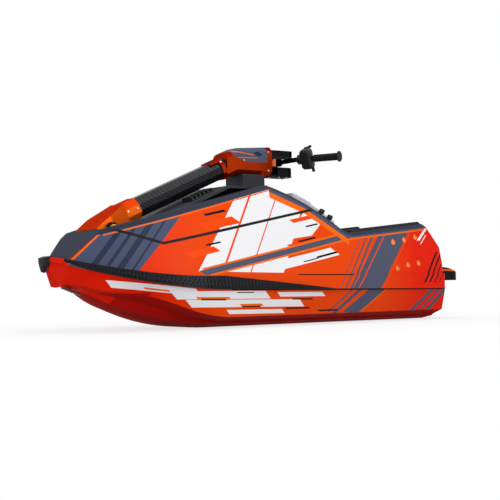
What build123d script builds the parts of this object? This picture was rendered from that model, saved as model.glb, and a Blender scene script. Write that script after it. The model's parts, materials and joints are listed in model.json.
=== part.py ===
"""Stand up personal watercraft, as separate parts, in millimetres.

X points to the bow, Y to port and Z up. The keel pad stands on Z = 0 and X = 0 is at mid length.
"""
import os
from math import atan2, cos, degrees, pi, radians, sin, sqrt, tan

from build123d import *

os.makedirs("parts", exist_ok=True)

# Plan outline of the bond flange: tangent arcs from the transom to the nose.
HALF_BEAM = 340.0
NOSE_X = 1060.0
NOSE_RADIUS = 180.0
SHOULDER_X = 450.0
TRANSOM_X = -955.0
STERN_HALF_BEAM = 285.0
STERN_CORNER = 15.0
MARGIN = 60.0
REACH = NOSE_X - TRANSOM_X
AFT_X = TRANSOM_X - MARGIN
NOSE_CENTRE = NOSE_X - NOSE_RADIUS
BOW_RUN = NOSE_CENTRE - SHOULDER_X
BOW_RADIUS = (BOW_RUN**2 + HALF_BEAM**2 - NOSE_RADIUS**2) / (2 * (HALF_BEAM - NOSE_RADIUS))
SIDE_RUN = SHOULDER_X - TRANSOM_X
SIDE_SAG = HALF_BEAM - STERN_HALF_BEAM
SIDE_RADIUS = (SIDE_RUN**2 + SIDE_SAG**2) / (2 * SIDE_SAG)

# Bond line between hull and deck, and the flange above it.
BOND_AFT_Z = 149.0
BOND_RISE_X = 350.0
BOND_RISE_Z = 166.0
BOND_RADIUS = 2050.0
FLANGE_TOP_Z = 224.0
FLANGE_RISE_X = 450.0
FLANGE_RADIUS = 2150.0
FLANGE_STEP = 7.0
HULL_INSET = 6.0
HULL_TOP_Z = 360.0

# Deck sides and the side view of the deck.
DECK_SKIRT = 50.0
SIDE_DRAFT = 7.0
PANEL_TOP = (886.0, 420.0)
PANEL_SLOPE = 1.05
PEAK = (121.0, 622.0)
SLOPE_MID = (-72.0, 554.0)
GUNNEL_FRONT = (-322.0, 416.0)
GUNNEL_BLEND = 120.0
GUNNEL_END = (-838.0, 470.0)
GUNNEL_FOOT = (-985.0, 290.0)
RIDGE_CHAMFER = 18.0

# Tray between the gunnels, and the lip behind it.
TRAY_FLOOR_Z = 256.0
TRAY_HALF = 196.0
TRAY_FRONT_X = -345.0
TRAY_DRAFT = 3.0
MAT_T = 8.0
MAT_EDGE = 8.0
LIP_END_X = -1090.0
LIP_HALF = 246.0
LIP_UNDER_Z = 189.0
LIP_END_Z = 222.0
LIP_MID = (-1032.0, 246.0)
LIP_ROOT = 40.0
LIP_CORNER = 40.0

# Hood seam in side view and the seal that fills it.
SEAM_FRONT = (862.0, 424.0)
SEAM_LOW = (663.0, 361.0)
SEAM_REAR = (-125.0, 520.0)
SEAM_T = 12.0

# Recess between the ridges, seat of the pole bracket and engine bay.
POLE_PIVOT = (805.0, 430.0)
POLE_ANGLE = 23.5
RECESS_HALF = 200.0
RECESS_FRONT_X = 752.0
RECESS_TOP = (270.0, 610.0)
RECESS_AFT_X = 62.0
INSERT_T = 12.0
SEAT_Z = 356.0
SEAT_SIDE = 28.0
SEAT_FRONT_X = 880.0
ENGINE_L = 420.0
ENGINE_W = 300.0
ENGINE_H = 330.0
ENGINE_SET = 50.0
ENGINE_FREE = 60.0
ENGINE_SIDE = 15.0
ENGINE_CUT = 30.0
BAY_AFT_X = -60.0
BAY_FRONT_X = BAY_AFT_X + ENGINE_SET + ENGINE_L + ENGINE_FREE
BAY_HALF = ENGINE_W / 2 + ENGINE_SIDE
BAY_FLOOR_Z = 85.0
BAY_ROOF = 26.0

# Jet drive on one shaft line.
SHAFT_Z = 98.0
SHAFT_R = 11.5
TUNNEL_R = 90.3
TUNNEL_FRONT_X = -640.0
INTAKE_FRONT_X = -330.0
INTAKE_RAMP = 150.0
RAMP_RISE = 40.0
THROAT_RISE = 78.0
INTAKE_HALF = 80.0
PUMP_R = 90.0
PUMP_BORE = 70.0
PUMP_SET = 5.0
PUMP_AFT_X = -850.0
SHAFT_GAP = 0.5
SHAFT_SET = 40.0
HUB_R = 26.0
VANES = 6
VANE_T = 6.0
VANE_ROOT = 4.0
STATOR_L = 55.0
EXIT_RING_L = 12.0
EXIT_RING_IN = 2.0
CONE_L = 42.0
SPOUT_L = 58.0
SPOUT_X = PUMP_AFT_X - CONE_L
EXIT_AFT_X = SPOUT_X - SPOUT_L
SPOUT_R = 46.0
SPOUT_T = 8.0
PIVOT_SET = 40.0
NOZZLE_PIVOT_X = SPOUT_X - PIVOT_SET
NOZZLE_PIN_R = 7.0
BOSS_HALF = 13.0
BOSS_R = 58.0
NOZZLE_EAR_GAP = 1.0
NOZZLE_EAR_T = 10.0
NOZZLE_EAR_HALF = 18.0
NOZZLE_GAP = 4.0
NOZZLE_L = 61.0
NOZZLE_FRONT_X = EXIT_AFT_X - NOZZLE_GAP
NOZZLE_BORE = 58.0
NOZZLE_T = 8.0
NOZZLE_TAPER = 6.0
NOZZLE_SIDES = 20
IMPELLER_FRONT_X = -680.0
IMPELLER_L = 90.0
BLADES = 3
BLADE_R = 63.0
BLADE_T = 6.0
BLADE_CHORD = 84.0
BLADE_PITCH = 40.0
RIDE_AFT_X = -985.0
RIDE_T = 8.0
GRATE_T = 10.0
GRATE_SET = 16.0
GRATE_EDGE = 24.0
GRATE_SLOTS = 4
GRATE_PITCH = 38.0
GRATE_SLOT = 26.0

# Handle pole, measured along it from the pivot.
PIN_R = 10.0
PIN_GAP = 0.05
PIN_HEAD_R = 17.0
PIN_HEAD_T = 9.0
EAR_GAP = 6.0
EAR_T = 16.0
EAR_R = 25.0
BRACKET_L = 90.0
BRACKET_SIDE = 18.0
BRACKET_T = 6.0
KNUCKLE_R = 36.0
KNUCKLE_HALF = 100.0
KNUCKLE_L = 20.0
BASE_NOSE = (-62.0, 24.0)
BASE_CHIN = (-50.0, -12.0)
BASE_BELLY = 60.0
BASE_WAIST = 120.0
BASE_SOCKET = 145.0
BASE_END = 190.0
POLE_RISE = 18.5
POLE_W = 108.0
POLE_D = 87.0
POLE_CUT = 30.0
SLEEVE_T = 5.0
TONGUE_START = 610.0
TONGUE_N = 36.0
HEAD_START = 655.0
HEAD_NECK = 675.0
HEAD_SOCKET = 700.0
HEAD_FRONT_X = 190.0
HEAD_CROWN_X = 125.0
HEAD_CHIN_X = 128.0
HEAD_AFT_X = -62.0
HEAD_RISE = 14.0
HEAD_CROWN = 14.0
HEAD_BROW = 43.0
HEAD_SET = 2.0
HEAD_CHIN = 27.0
HEAD_HALF = 62.0
HEAD_CUT = 20.0

# Steering stack on the stem, from the lower housing up.
HOUSING_UNDER_Z = 690.0
HOUSING_T = 44.0
HOUSING_FLOOR = 8.0
HOUSING_ROOF = 5.0
WINDOW_SET = 8.0
WINDOW_L = 34.0
SPACER_LOW = 6.0
CLAMP_T = 34.0
SPACER_TOP = 10.0
TOP_PLATE_T = 28.0
SPACER_GAP = 1.0
PLATE_AFT_X = -204.0
PLATE_HALF = 58.0
PLATE_CORNER = 44.0
HOUSING_HALF = 50.0
STEM_X = -85.0
STEM_R = 9.0
STEM_END = 4.0
SPACER_R = 16.0
COLLAR_R = 15.0
SPACER_SIDES = 12
CLAMP_NOSE = 17.0
CLAMP_FLARE = 24.0
CLAMP_WRAP = 22.0
CLAMP_HALF = 38.0
CLAMP_CUT = 9.0

# Handlebar and what it carries, measured along its leg from the bend.
BAR_X = -120.0
BAR_R = 11.0
BAR_BEND_Y = 165.0
BAR_BEND_R = 60.0
BAR_SWEEP = 25.0
BAR_LEG = 222.0
GRIP_START = 98.0
GRIP_R = 16.5
GRIP_FLANGE_R = 25.0
GRIP_FLANGE_T = 5.0
GRIP_END_R = 20.0
GRIP_CAP = 6.0
GRIP_SIDES = 16
SWITCH_RING_START = 18.0
SWITCH_RING_R = 23.0
SWITCH_START = 34.0
SWITCH_L = 54.0
SWITCH_TALL = 92.0
SWITCH_DEEP = 46.0
SWITCH_TILT = 24.0
SWITCH_CUT = 9.0
PADDLE_L = 34.0
PADDLE_W = 12.0
PADDLE_T = 6.0
THROTTLE_START = 50.0
THROTTLE_L = 40.0
THROTTLE_R = 24.0
LEVER_OUT = 62.0
LEVER_L = 84.0
LEVER_H = 14.0
LEVER_T = 12.0

# Pads, mat, pole rest and foot holds.
REST_AFT_X = -12.0
REST_L = 124.0
REST_HALF = 70.0
PAD_TILT = 30.0
PAD_GAP = 7.0
HOOD_PAD_T = 26.0
HOOD_PAD_HALF = 258.0
HOOD_PAD_FRONT_X = -30.0
HOOD_PAD_OVER = 25.0
BULKHEAD_PAD_T = 30.0
BULKHEAD_PAD_HALF = 238.0
BULKHEAD_PAD_AFT_X = -300.0
GUNNEL_PAD_EDGE = 3.0
GUNNEL_PAD_W = 28.0
GUNNEL_PAD_FLARE = 26.0
GUNNEL_PAD_T = 12.0
GUNNEL_PAD_SET = 46.0
GUNNEL_PAD_END = 9.0
KNOB_Y = 257.0
KNOB_FRONT_X = -188.0
KNOB_REAR_X = -234.0
KNOB_STEM_R = 8.0
KNOB_STEM = 10.0
KNOB_R = 13.0
KNOB_H = 16.0
KNOB_SIDES = 10
VENT_X = 384.0
VENT_Y = 122.0
VENT_L = 126.0
VENT_W = 84.0
VENT_H = 18.0
VENT_FOOT = 6.0
VENT_SLOTS = 5
VENT_PITCH = 22.0
VENT_SLOT = 11.0
VENT_LEAN = 14.0
HOLD_FRONT_X = -636.0
HOLD_L = 150.0
HOLD_Y = 188.0
HOLD_Z = 302.0
HOLD_R = 105.0
HOLD_T = 14.0
HOLD_LEAN = 11.3

# Rub rails, nose bumper and tow loop.
RAIL_T = 16.0
RAIL_WEB = 9.0
RAIL_STEP = 11.0
RAIL_FRONT_X = 1024.0
RAIL_NOSE = 80.0
RAIL_NOSE_Z = 12.0
RAIL_FULL_X = 400.0
RAIL_TIP_X = -230.0
BUMPER_T = 15.0
BUMPER_BACK_X = 1045.0
BUMPER_UNDER_Z = 243.0
BUMPER_TOP_Z = 317.0
BUMPER_HALF = 44.0
BUMPER_SIDE = 28.0
BUMPER_POINT = 9.0
BUMPER_LEAN = 16.0
NOTCH_X = 918.0
NOTCH_Z = 181.0
NOTCH_HALF = 60.0
LOOP_AFT = (903.0, 152.0)
LOOP_FRONT = (980.0, 181.0)
LOOP_T = 6.0
LOOP_HALF = 16.0

FIT = 0.3


def side_height(radius, rise_x, rise_z, x):
    """Height at x of an arc that leaves the level rise_z at rise_x."""
    return rise_z + radius - sqrt(radius**2 - (x - rise_x) ** 2)


def bond_z(x):
    """Height of the bond line at x."""
    if x > BOND_RISE_X:
        return side_height(BOND_RADIUS, BOND_RISE_X, BOND_RISE_Z, x)
    return BOND_RISE_Z + (BOND_AFT_Z - BOND_RISE_Z) * (BOND_RISE_X - x) / (BOND_RISE_X - AFT_X)


def plan_half(x, inset):
    """Half width of the plan outline at x, moved in by inset."""
    if x <= SHOULDER_X:
        radius = SIDE_RADIUS - inset
        return HALF_BEAM - SIDE_RADIUS + sqrt(radius**2 - (x - SHOULDER_X) ** 2)
    radius = BOW_RADIUS - inset
    bow_half = HALF_BEAM - BOW_RADIUS + sqrt(radius**2 - (x - SHOULDER_X) ** 2)
    if x <= NOSE_CENTRE + (NOSE_RADIUS - inset) * BOW_RUN / (BOW_RADIUS - NOSE_RADIUS):
        return bow_half
    return sqrt((NOSE_RADIUS - inset) ** 2 - (x - NOSE_CENTRE) ** 2)


def plan_face(inset):
    """Face of the plan outline, moved in by inset."""
    join = NOSE_CENTRE + (NOSE_RADIUS - inset) * BOW_RUN / (BOW_RADIUS - NOSE_RADIUS)
    stern = (TRANSOM_X, -plan_half(TRANSOM_X, inset))
    shoulder = (SHOULDER_X, inset - HALF_BEAM)
    cheek = (join, -plan_half(join, inset))
    nose = (NOSE_X - inset, 0)
    with BuildSketch() as outline:
        with BuildLine():
            Line((TRANSOM_X, 0), stern)
            RadiusArc(stern, shoulder, inset - SIDE_RADIUS)
            RadiusArc(shoulder, cheek, inset - BOW_RADIUS)
            RadiusArc(cheek, nose, inset - NOSE_RADIUS)
            mirror(about=Plane.XZ)
        make_face()
        corners = outline.vertices().filter_by(lambda v: v.X < AFT_X + 2 * MARGIN and abs(v.Y) > MARGIN)
        fillet(corners, STERN_CORNER)
    return outline.sketch


def deck_inset(z):
    """How far the deck side stands inside the flange outline at height z."""
    return FLANGE_STEP + tan(radians(SIDE_DRAFT)) * (z - FLANGE_TOP_Z)


with BuildPart() as below_bond:
    with BuildSketch(Plane.XZ):
        bow_z = bond_z(NOSE_X + MARGIN)
        with BuildLine():
            Polyline((BOND_RISE_X, BOND_RISE_Z), (AFT_X, BOND_AFT_Z), (AFT_X, 0),
                     (NOSE_X + MARGIN, 0), (NOSE_X + MARGIN, bow_z))
            RadiusArc((NOSE_X + MARGIN, bow_z), (BOND_RISE_X, BOND_RISE_Z), BOND_RADIUS)
        make_face()
    extrude(amount=REACH, both=True)

with BuildPart() as below_flange_top:
    with BuildSketch(Plane.XZ):
        bow_z = side_height(FLANGE_RADIUS, FLANGE_RISE_X, FLANGE_TOP_Z, NOSE_X + MARGIN)
        with BuildLine():
            Polyline((FLANGE_RISE_X, FLANGE_TOP_Z), (AFT_X, FLANGE_TOP_Z), (AFT_X, 0),
                     (NOSE_X + MARGIN, 0), (NOSE_X + MARGIN, bow_z))
            RadiusArc((NOSE_X + MARGIN, bow_z), (FLANGE_RISE_X, FLANGE_TOP_Z), FLANGE_RADIUS)
        make_face()
    extrude(amount=REACH, both=True)

# Tools that cut more than one part: engine bay, jet tunnel with its intake, and the hood above the seam.
pole_dir = (-cos(radians(POLE_ANGLE)), 0, sin(radians(POLE_ANGLE)))
pole_up = (sin(radians(POLE_ANGLE)), 0, cos(radians(POLE_ANGLE)))
recess_slope = tan(radians(POLE_ANGLE))
ear_inner = KNUCKLE_HALF + EAR_GAP
ear_outer = ear_inner + EAR_T
seat_half = ear_outer + SEAT_SIDE
bay_front_z = RECESS_TOP[1] - recess_slope * (BAY_FRONT_X - RECESS_TOP[0]) - BAY_ROOF
with BuildPart() as bay:
    with BuildSketch(Plane.XZ):
        Polygon((BAY_FRONT_X, BAY_FLOOR_Z), (BAY_FRONT_X, bay_front_z),
                (RECESS_TOP[0], RECESS_TOP[1] - BAY_ROOF), (RECESS_AFT_X, RECESS_TOP[1] - BAY_ROOF),
                (BAY_AFT_X, SEAM_REAR[1] - BAY_ROOF), (BAY_AFT_X, BAY_FLOOR_Z), align=None)
    extrude(amount=BAY_HALF, both=True)

with BuildPart() as tunnel:
    with BuildSketch(Plane(origin=(TUNNEL_FRONT_X, 0, SHAFT_Z), z_dir=(-1, 0, 0))):
        Circle(TUNNEL_R)
    extrude(amount=REACH)
    with BuildSketch(Plane.XZ):
        Polygon((INTAKE_FRONT_X, 0), (INTAKE_FRONT_X - INTAKE_RAMP, SHAFT_Z + RAMP_RISE),
                (TUNNEL_FRONT_X, SHAFT_Z + THROAT_RISE), (TUNNEL_FRONT_X, SHAFT_Z), (AFT_X, SHAFT_Z),
                (AFT_X, 0), align=None)
    extrude(amount=INTAKE_HALF, both=True)
    with BuildSketch(Plane(origin=(BAY_AFT_X + MARGIN, 0, SHAFT_Z), z_dir=(-1, 0, 0))):
        Circle(SHAFT_R + SHAFT_GAP)
    extrude(amount=BAY_AFT_X + MARGIN - TUNNEL_FRONT_X)


def hood_region(lift):
    """Side view of everything above the hood seam moved up by lift."""
    with BuildSketch(Plane.XZ) as region:
        Polygon((SEAM_FRONT[0], SEAM_FRONT[1] + lift), (SEAM_FRONT[0], REACH),
                (SEAM_REAR[0] - MARGIN, REACH), (SEAM_REAR[0], SEAM_REAR[1] + lift),
                (SEAM_LOW[0], SEAM_LOW[1] + lift), align=None)
    return region.sketch


# The hull bottom: stations from the transom to the stem, half sections in Y and Z.
HULL_STATIONS = [
    # x, keel half, keel z, strake y, strake z, strake rise, chine ratio, chine z
    (TRANSOM_X, 105.0, 0.0, 180.0, 14.0, 8.0, 0.90, 46.0),
    (330.0, 92.0, 0.0, 180.0, 17.0, 11.0, 0.885, 48.0),
    (420.0, 78.0, 2.2, 175.0, 23.0, 16.0, 0.88, 56.0),
    (510.0, 65.0, 11.6, 165.0, 33.0, 24.0, 0.87, 77.0),
    (630.0, 50.0, 36.0, 148.0, 56.0, 36.0, 0.855, 120.0),
    (726.0, 40.0, 66.0, 126.0, 82.0, 40.0, 0.83, 148.0),
    (815.0, 30.0, 104.0, 98.0, 114.0, 30.0, 0.82, 161.0),
    (926.0, 20.0, 171.0, 52.0, 174.0, 6.0, 0.70, 184.0),
    (1012.0, 8.0, 186.0, 18.0, 186.6, 1.0, 0.42, 189.0),
    (1050.0, 3.0, 258.0, 6.0, 258.4, 0.6, 0.40, 260.0),
]

corner_plan = plan_face(0)
with BuildPart() as hull:
    # Straight along the flat run, smooth through the bow and straight up the stem.
    for rows, straight in ((HULL_STATIONS[:2], True), (HULL_STATIONS[1:-1], False),
                           (HULL_STATIONS[-2:], True)):
        for x, keel_half, keel_z, strake_y, strake_z, strake_rise, chine_ratio, chine_z in rows:
            half = plan_half(x, HULL_INSET)
            with BuildSketch(Plane(origin=(x, 0, 0), x_dir=(0, 1, 0), z_dir=(1, 0, 0))):
                with BuildLine():
                    Polyline((0, keel_z), (keel_half, keel_z), (strake_y, strake_z),
                             (strake_y + strake_rise, strake_z + strake_rise),
                             (half * chine_ratio, chine_z), (half, bond_z(x)), (half, HULL_TOP_Z),
                             (0, HULL_TOP_Z))
                    mirror(about=Plane.YZ)
                make_face()
        loft(ruled=straight)
    add(below_bond.part, mode=Mode.INTERSECT)
    with BuildSketch():
        add(corner_plan)
    extrude(amount=HULL_TOP_Z, mode=Mode.INTERSECT)
    add(bay.part, mode=Mode.SUBTRACT)
    add(tunnel.part, mode=Mode.SUBTRACT)
    with Locations((NOTCH_X, 0, 0)):
        Box(NOSE_X - NOTCH_X, 2 * NOTCH_HALF, NOTCH_Z, align=(Align.MIN, Align.CENTER, Align.MIN),
            mode=Mode.SUBTRACT)

hull.part.label = "hull"
export_step(hull.part, "parts/hull.step")

with BuildPart() as side_prism:
    with BuildSketch(Plane.XZ) as side_view:
        panel_foot = PANEL_TOP[1] - PANEL_SLOPE * (NOSE_X + MARGIN - PANEL_TOP[0])
        with BuildLine():
            Polyline(GUNNEL_FRONT, GUNNEL_END, GUNNEL_FOOT, (AFT_X, 0), (NOSE_X + MARGIN, 0),
                     (NOSE_X + MARGIN, panel_foot), PANEL_TOP, PEAK)
            ThreePointArc(PEAK, SLOPE_MID, GUNNEL_FRONT)
        make_face()
        fillet(side_view.vertices().sort_by_distance((*GUNNEL_FRONT, 0))[0], GUNNEL_BLEND)
    extrude(amount=REACH, both=True)

skirt_z = FLANGE_TOP_Z - DECK_SKIRT
deck_plan = plan_face(deck_inset(skirt_z))
with BuildPart() as upper:
    with BuildSketch(Plane.XY.offset(skirt_z)):
        add(deck_plan)
    extrude(amount=PEAK[1] + MARGIN - skirt_z, taper=SIDE_DRAFT)
    add(side_prism.part, mode=Mode.INTERSECT)
    crests = upper.edges().filter_by(lambda e: abs(e.center().Y) > TRAY_HALF and e.center().X < PANEL_TOP[0])
    chamfer(crests.filter_by(lambda e: e.center().X > GUNNEL_FRONT[0] and e.center().Z > GUNNEL_FRONT[1]),
            RIDGE_CHAMFER)
    with BuildSketch(Plane.XZ):
        recess_front_z = RECESS_TOP[1] - recess_slope * (RECESS_FRONT_X - RECESS_TOP[0])
        Polygon((RECESS_FRONT_X, recess_front_z), (RECESS_FRONT_X, REACH), (RECESS_AFT_X, REACH),
                (RECESS_AFT_X, RECESS_TOP[1]), RECESS_TOP, align=None)
    extrude(amount=RECESS_HALF, both=True, mode=Mode.SUBTRACT)
    with BuildSketch(Plane.XY.offset(SEAT_Z)):
        with Locations((RECESS_FRONT_X, 0)):
            Rectangle(SEAT_FRONT_X - RECESS_FRONT_X, 2 * seat_half, align=(Align.MIN, Align.CENTER))
    extrude(amount=REACH, mode=Mode.SUBTRACT)

with BuildPart() as flange:
    with BuildSketch():
        add(corner_plan)
    extrude(amount=HULL_TOP_Z)
    add(below_flange_top.part, mode=Mode.INTERSECT)

with BuildPart() as lip:
    with BuildSketch(Plane.XZ):
        with BuildLine():
            Polyline((TRANSOM_X, TRAY_FLOOR_Z), (TRANSOM_X + LIP_ROOT, TRAY_FLOOR_Z),
                     (TRANSOM_X + LIP_ROOT, LIP_UNDER_Z), (LIP_END_X, LIP_UNDER_Z), (LIP_END_X, LIP_END_Z))
            ThreePointArc((LIP_END_X, LIP_END_Z), LIP_MID, (TRANSOM_X, TRAY_FLOOR_Z))
        make_face()
    extrude(amount=LIP_HALF, both=True)
    fillet(lip.edges().filter_by(Axis.Z).group_by(Axis.X)[0], LIP_CORNER)

with BuildPart() as deck:
    add(upper.part)
    add(flange.part)
    add(lip.part)
    with BuildSketch(Plane.XZ):
        add(hood_region(-SEAM_T / 2))
    extrude(amount=REACH, both=True, mode=Mode.SUBTRACT)
    add(below_bond.part, mode=Mode.SUBTRACT)
    with BuildSketch(Plane.XY.offset(TRAY_FLOOR_Z)):
        with Locations((TRAY_FRONT_X, 0)):
            Rectangle(TRAY_FRONT_X - LIP_END_X + MARGIN, 2 * TRAY_HALF, align=(Align.MAX, Align.CENTER))
    extrude(amount=GUNNEL_END[1] + MARGIN - TRAY_FLOOR_Z, taper=-TRAY_DRAFT, mode=Mode.SUBTRACT)
    add(bay.part, mode=Mode.SUBTRACT)
    add(tunnel.part, mode=Mode.SUBTRACT)

deck.part.label = "deck"
export_step(deck.part, "parts/deck.step")

with BuildPart() as hood:
    add(upper.part)
    with BuildSketch(Plane.XZ):
        add(hood_region(SEAM_T / 2))
    extrude(amount=REACH, both=True, mode=Mode.INTERSECT)
    add(bay.part, mode=Mode.SUBTRACT)

hood.part.label = "hood"
export_step(hood.part, "parts/hood.step")

with BuildPart() as hood_seal:
    add(upper.part)
    with BuildSketch(Plane.XZ):
        add(hood_region(-SEAM_T / 2))
    extrude(amount=REACH, both=True, mode=Mode.INTERSECT)
    with BuildSketch(Plane.XZ):
        add(hood_region(SEAM_T / 2))
    extrude(amount=REACH, both=True, mode=Mode.SUBTRACT)
    add(bay.part, mode=Mode.SUBTRACT)

hood_seal.part.label = "hood_seal"
export_step(hood_seal.part, "parts/hood_seal.step")

with BuildPart() as hood_insert:
    with BuildSketch(Plane.XZ):
        Polygon((RECESS_FRONT_X, recess_front_z), (RECESS_FRONT_X, recess_front_z + INSERT_T),
                (RECESS_TOP[0], RECESS_TOP[1] + INSERT_T), (RECESS_AFT_X, RECESS_TOP[1] + INSERT_T),
                (RECESS_AFT_X, RECESS_TOP[1]), RECESS_TOP, align=None)
    extrude(amount=RECESS_HALF - FIT, both=True)

hood_insert.part.label = "hood_insert"
export_step(hood_insert.part, "parts/hood_insert.step")

with BuildPart() as engine_block:
    with Locations((BAY_AFT_X + ENGINE_SET, 0, BAY_FLOOR_Z)):
        Box(ENGINE_L, ENGINE_W, ENGINE_H, align=(Align.MIN, Align.CENTER, Align.MIN))
    chamfer(engine_block.edges().group_by(Axis.Z)[-1], ENGINE_CUT)

engine_block.part.label = "engine_block"
export_step(engine_block.part, "parts/engine_block.step")

# Rub rails on the flange, nose bumper and tow loop.
rail_plan = plan_face(-RAIL_T)
web_plan = plan_face(-RAIL_WEB)
with BuildPart() as rail_core:
    with BuildSketch(Plane.XY.offset(2 * RAIL_STEP)):
        add(rail_plan)
        add(corner_plan, mode=Mode.SUBTRACT)
    extrude(amount=HULL_TOP_Z)
    add(below_flange_top.part.moved(Location((0, 0, -RAIL_STEP))), mode=Mode.INTERSECT)
    add(below_bond.part.moved(Location((0, 0, RAIL_STEP))), mode=Mode.SUBTRACT)

with BuildPart() as rail_port:
    with BuildSketch():
        add(web_plan)
        add(corner_plan, mode=Mode.SUBTRACT)
    extrude(amount=HULL_TOP_Z)
    add(below_flange_top.part, mode=Mode.INTERSECT)
    add(below_bond.part, mode=Mode.SUBTRACT)
    add(rail_core.part)
    with BuildSketch(Plane.XZ):
        rail_nose_x = RAIL_FRONT_X - RAIL_NOSE
        rail_nose_z = side_height(FLANGE_RADIUS, FLANGE_RISE_X, FLANGE_TOP_Z, RAIL_FRONT_X) - RAIL_NOSE_Z
        Polygon((RAIL_FRONT_X, rail_nose_z), (RAIL_FRONT_X, HULL_TOP_Z), (RAIL_FULL_X, HULL_TOP_Z),
                (RAIL_FULL_X, FLANGE_TOP_Z), (RAIL_TIP_X, bond_z(RAIL_TIP_X)), (RAIL_TIP_X, 0),
                (rail_nose_x, 0), (rail_nose_x, bond_z(rail_nose_x)), align=None)
    extrude(amount=-REACH, mode=Mode.INTERSECT)

rail_port.part.label = "rail_port"
export_step(rail_port.part, "parts/rail_port.step")

with BuildPart() as rail_starboard:
    add(rail_port.part)
    mirror(about=Plane.XZ, mode=Mode.REPLACE)

rail_starboard.part.label = "rail_starboard"
export_step(rail_starboard.part, "parts/rail_starboard.step")

bumper_plan = plan_face(-BUMPER_T)
with BuildPart() as nose_bumper:
    with BuildSketch(Plane.YZ.offset(BUMPER_BACK_X)):
        Polygon((BUMPER_HALF, BUMPER_TOP_Z), (BUMPER_HALF, BUMPER_TOP_Z - BUMPER_SIDE),
                (BUMPER_POINT, BUMPER_UNDER_Z), (-BUMPER_POINT, BUMPER_UNDER_Z),
                (-BUMPER_HALF, BUMPER_TOP_Z - BUMPER_SIDE), (-BUMPER_HALF, BUMPER_TOP_Z), align=None)
    extrude(amount=NOSE_X + BUMPER_T - BUMPER_BACK_X, taper=BUMPER_LEAN)
    with BuildSketch():
        add(bumper_plan)
    extrude(amount=HULL_TOP_Z, mode=Mode.INTERSECT)
    add(flange.part, mode=Mode.SUBTRACT)
    add(hull.part, mode=Mode.SUBTRACT)
    add(deck.part, mode=Mode.SUBTRACT)

nose_bumper.part.label = "nose_bumper"
export_step(nose_bumper.part, "parts/nose_bumper.step")

with BuildPart() as tow_loop:
    with BuildSketch(Plane.XZ):
        Polygon(LOOP_AFT, LOOP_FRONT, (LOOP_FRONT[0], LOOP_FRONT[1] + LOOP_T),
                (LOOP_AFT[0], LOOP_AFT[1] + LOOP_T), align=None)
    extrude(amount=LOOP_HALF, both=True)
    add(hull.part, mode=Mode.SUBTRACT)

tow_loop.part.label = "tow_loop"
export_step(tow_loop.part, "parts/tow_loop.step")

# Handle pole: bracket and pin on the deck, base, tube and head on the pole.
with BuildPart() as pole_bracket:
    with Locations((POLE_PIVOT[0], 0, SEAT_Z)):
        Box(BRACKET_L, 2 * (ear_outer + BRACKET_SIDE), BRACKET_T,
            align=(Align.CENTER, Align.CENTER, Align.MIN))
    with BuildSketch(Plane.XZ.offset(-ear_outer)):
        with Locations(POLE_PIVOT):
            Circle(EAR_R)
        with Locations((POLE_PIVOT[0], SEAT_Z)):
            Rectangle(2 * EAR_R, POLE_PIVOT[1] - SEAT_Z, align=(Align.CENTER, Align.MIN))
        with Locations(POLE_PIVOT):
            Circle(PIN_R + FIT, mode=Mode.SUBTRACT)
    extrude(amount=ear_outer - ear_inner)
    mirror(about=Plane.XZ)

pole_bracket.part.label = "pole_bracket"
export_step(pole_bracket.part, "parts/pole_bracket.step")

with BuildPart() as pivot_pin:
    with BuildSketch(Plane.XZ.offset(-ear_outer - FIT)):
        with Locations(POLE_PIVOT):
            Circle(PIN_R)
    extrude(amount=2 * ear_outer + 2 * FIT)
    with BuildSketch(Plane.XZ.offset(-ear_outer - FIT)):
        with Locations(POLE_PIVOT):
            RegularPolygon(PIN_HEAD_R, 6)
    extrude(amount=-PIN_HEAD_T)
    mirror(about=Plane.XZ)

pivot_pin.part.label = "pivot_pin"
export_step(pivot_pin.part, "parts/pivot_pin.step")

pivot_point = (POLE_PIVOT[0], 0, POLE_PIVOT[1])
pole_side = Plane(origin=pivot_point, x_dir=pole_dir, z_dir=(0, 1, 0))
pole_flat = Plane(origin=pivot_point, x_dir=pole_dir, z_dir=pole_up)


def pole_octagon(along, grow):
    """Eight sided pole section, grown by grow, at a distance along the pole from the pivot."""
    spot = [p + along * d + POLE_RISE * n for p, d, n in zip(pivot_point, pole_dir, pole_up)]
    with BuildSketch(Plane(origin=spot, x_dir=(0, 1, 0), z_dir=pole_dir)) as octagon:
        Rectangle(POLE_W + 2 * grow, POLE_D + 2 * grow)
        chamfer(octagon.vertices(), POLE_CUT)
    return octagon.sketch


tube_section = pole_octagon(BASE_SOCKET, 0)
base_section = pole_octagon(BASE_WAIST, SLEEVE_T)
head_section = pole_octagon(TONGUE_START, SLEEVE_T)

with BuildPart() as pole_tube:
    extrude(tube_section, amount=HEAD_SOCKET - BASE_SOCKET)

pole_tube.part.label = "pole_tube"
export_step(pole_tube.part, "parts/pole_tube.step")

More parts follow.
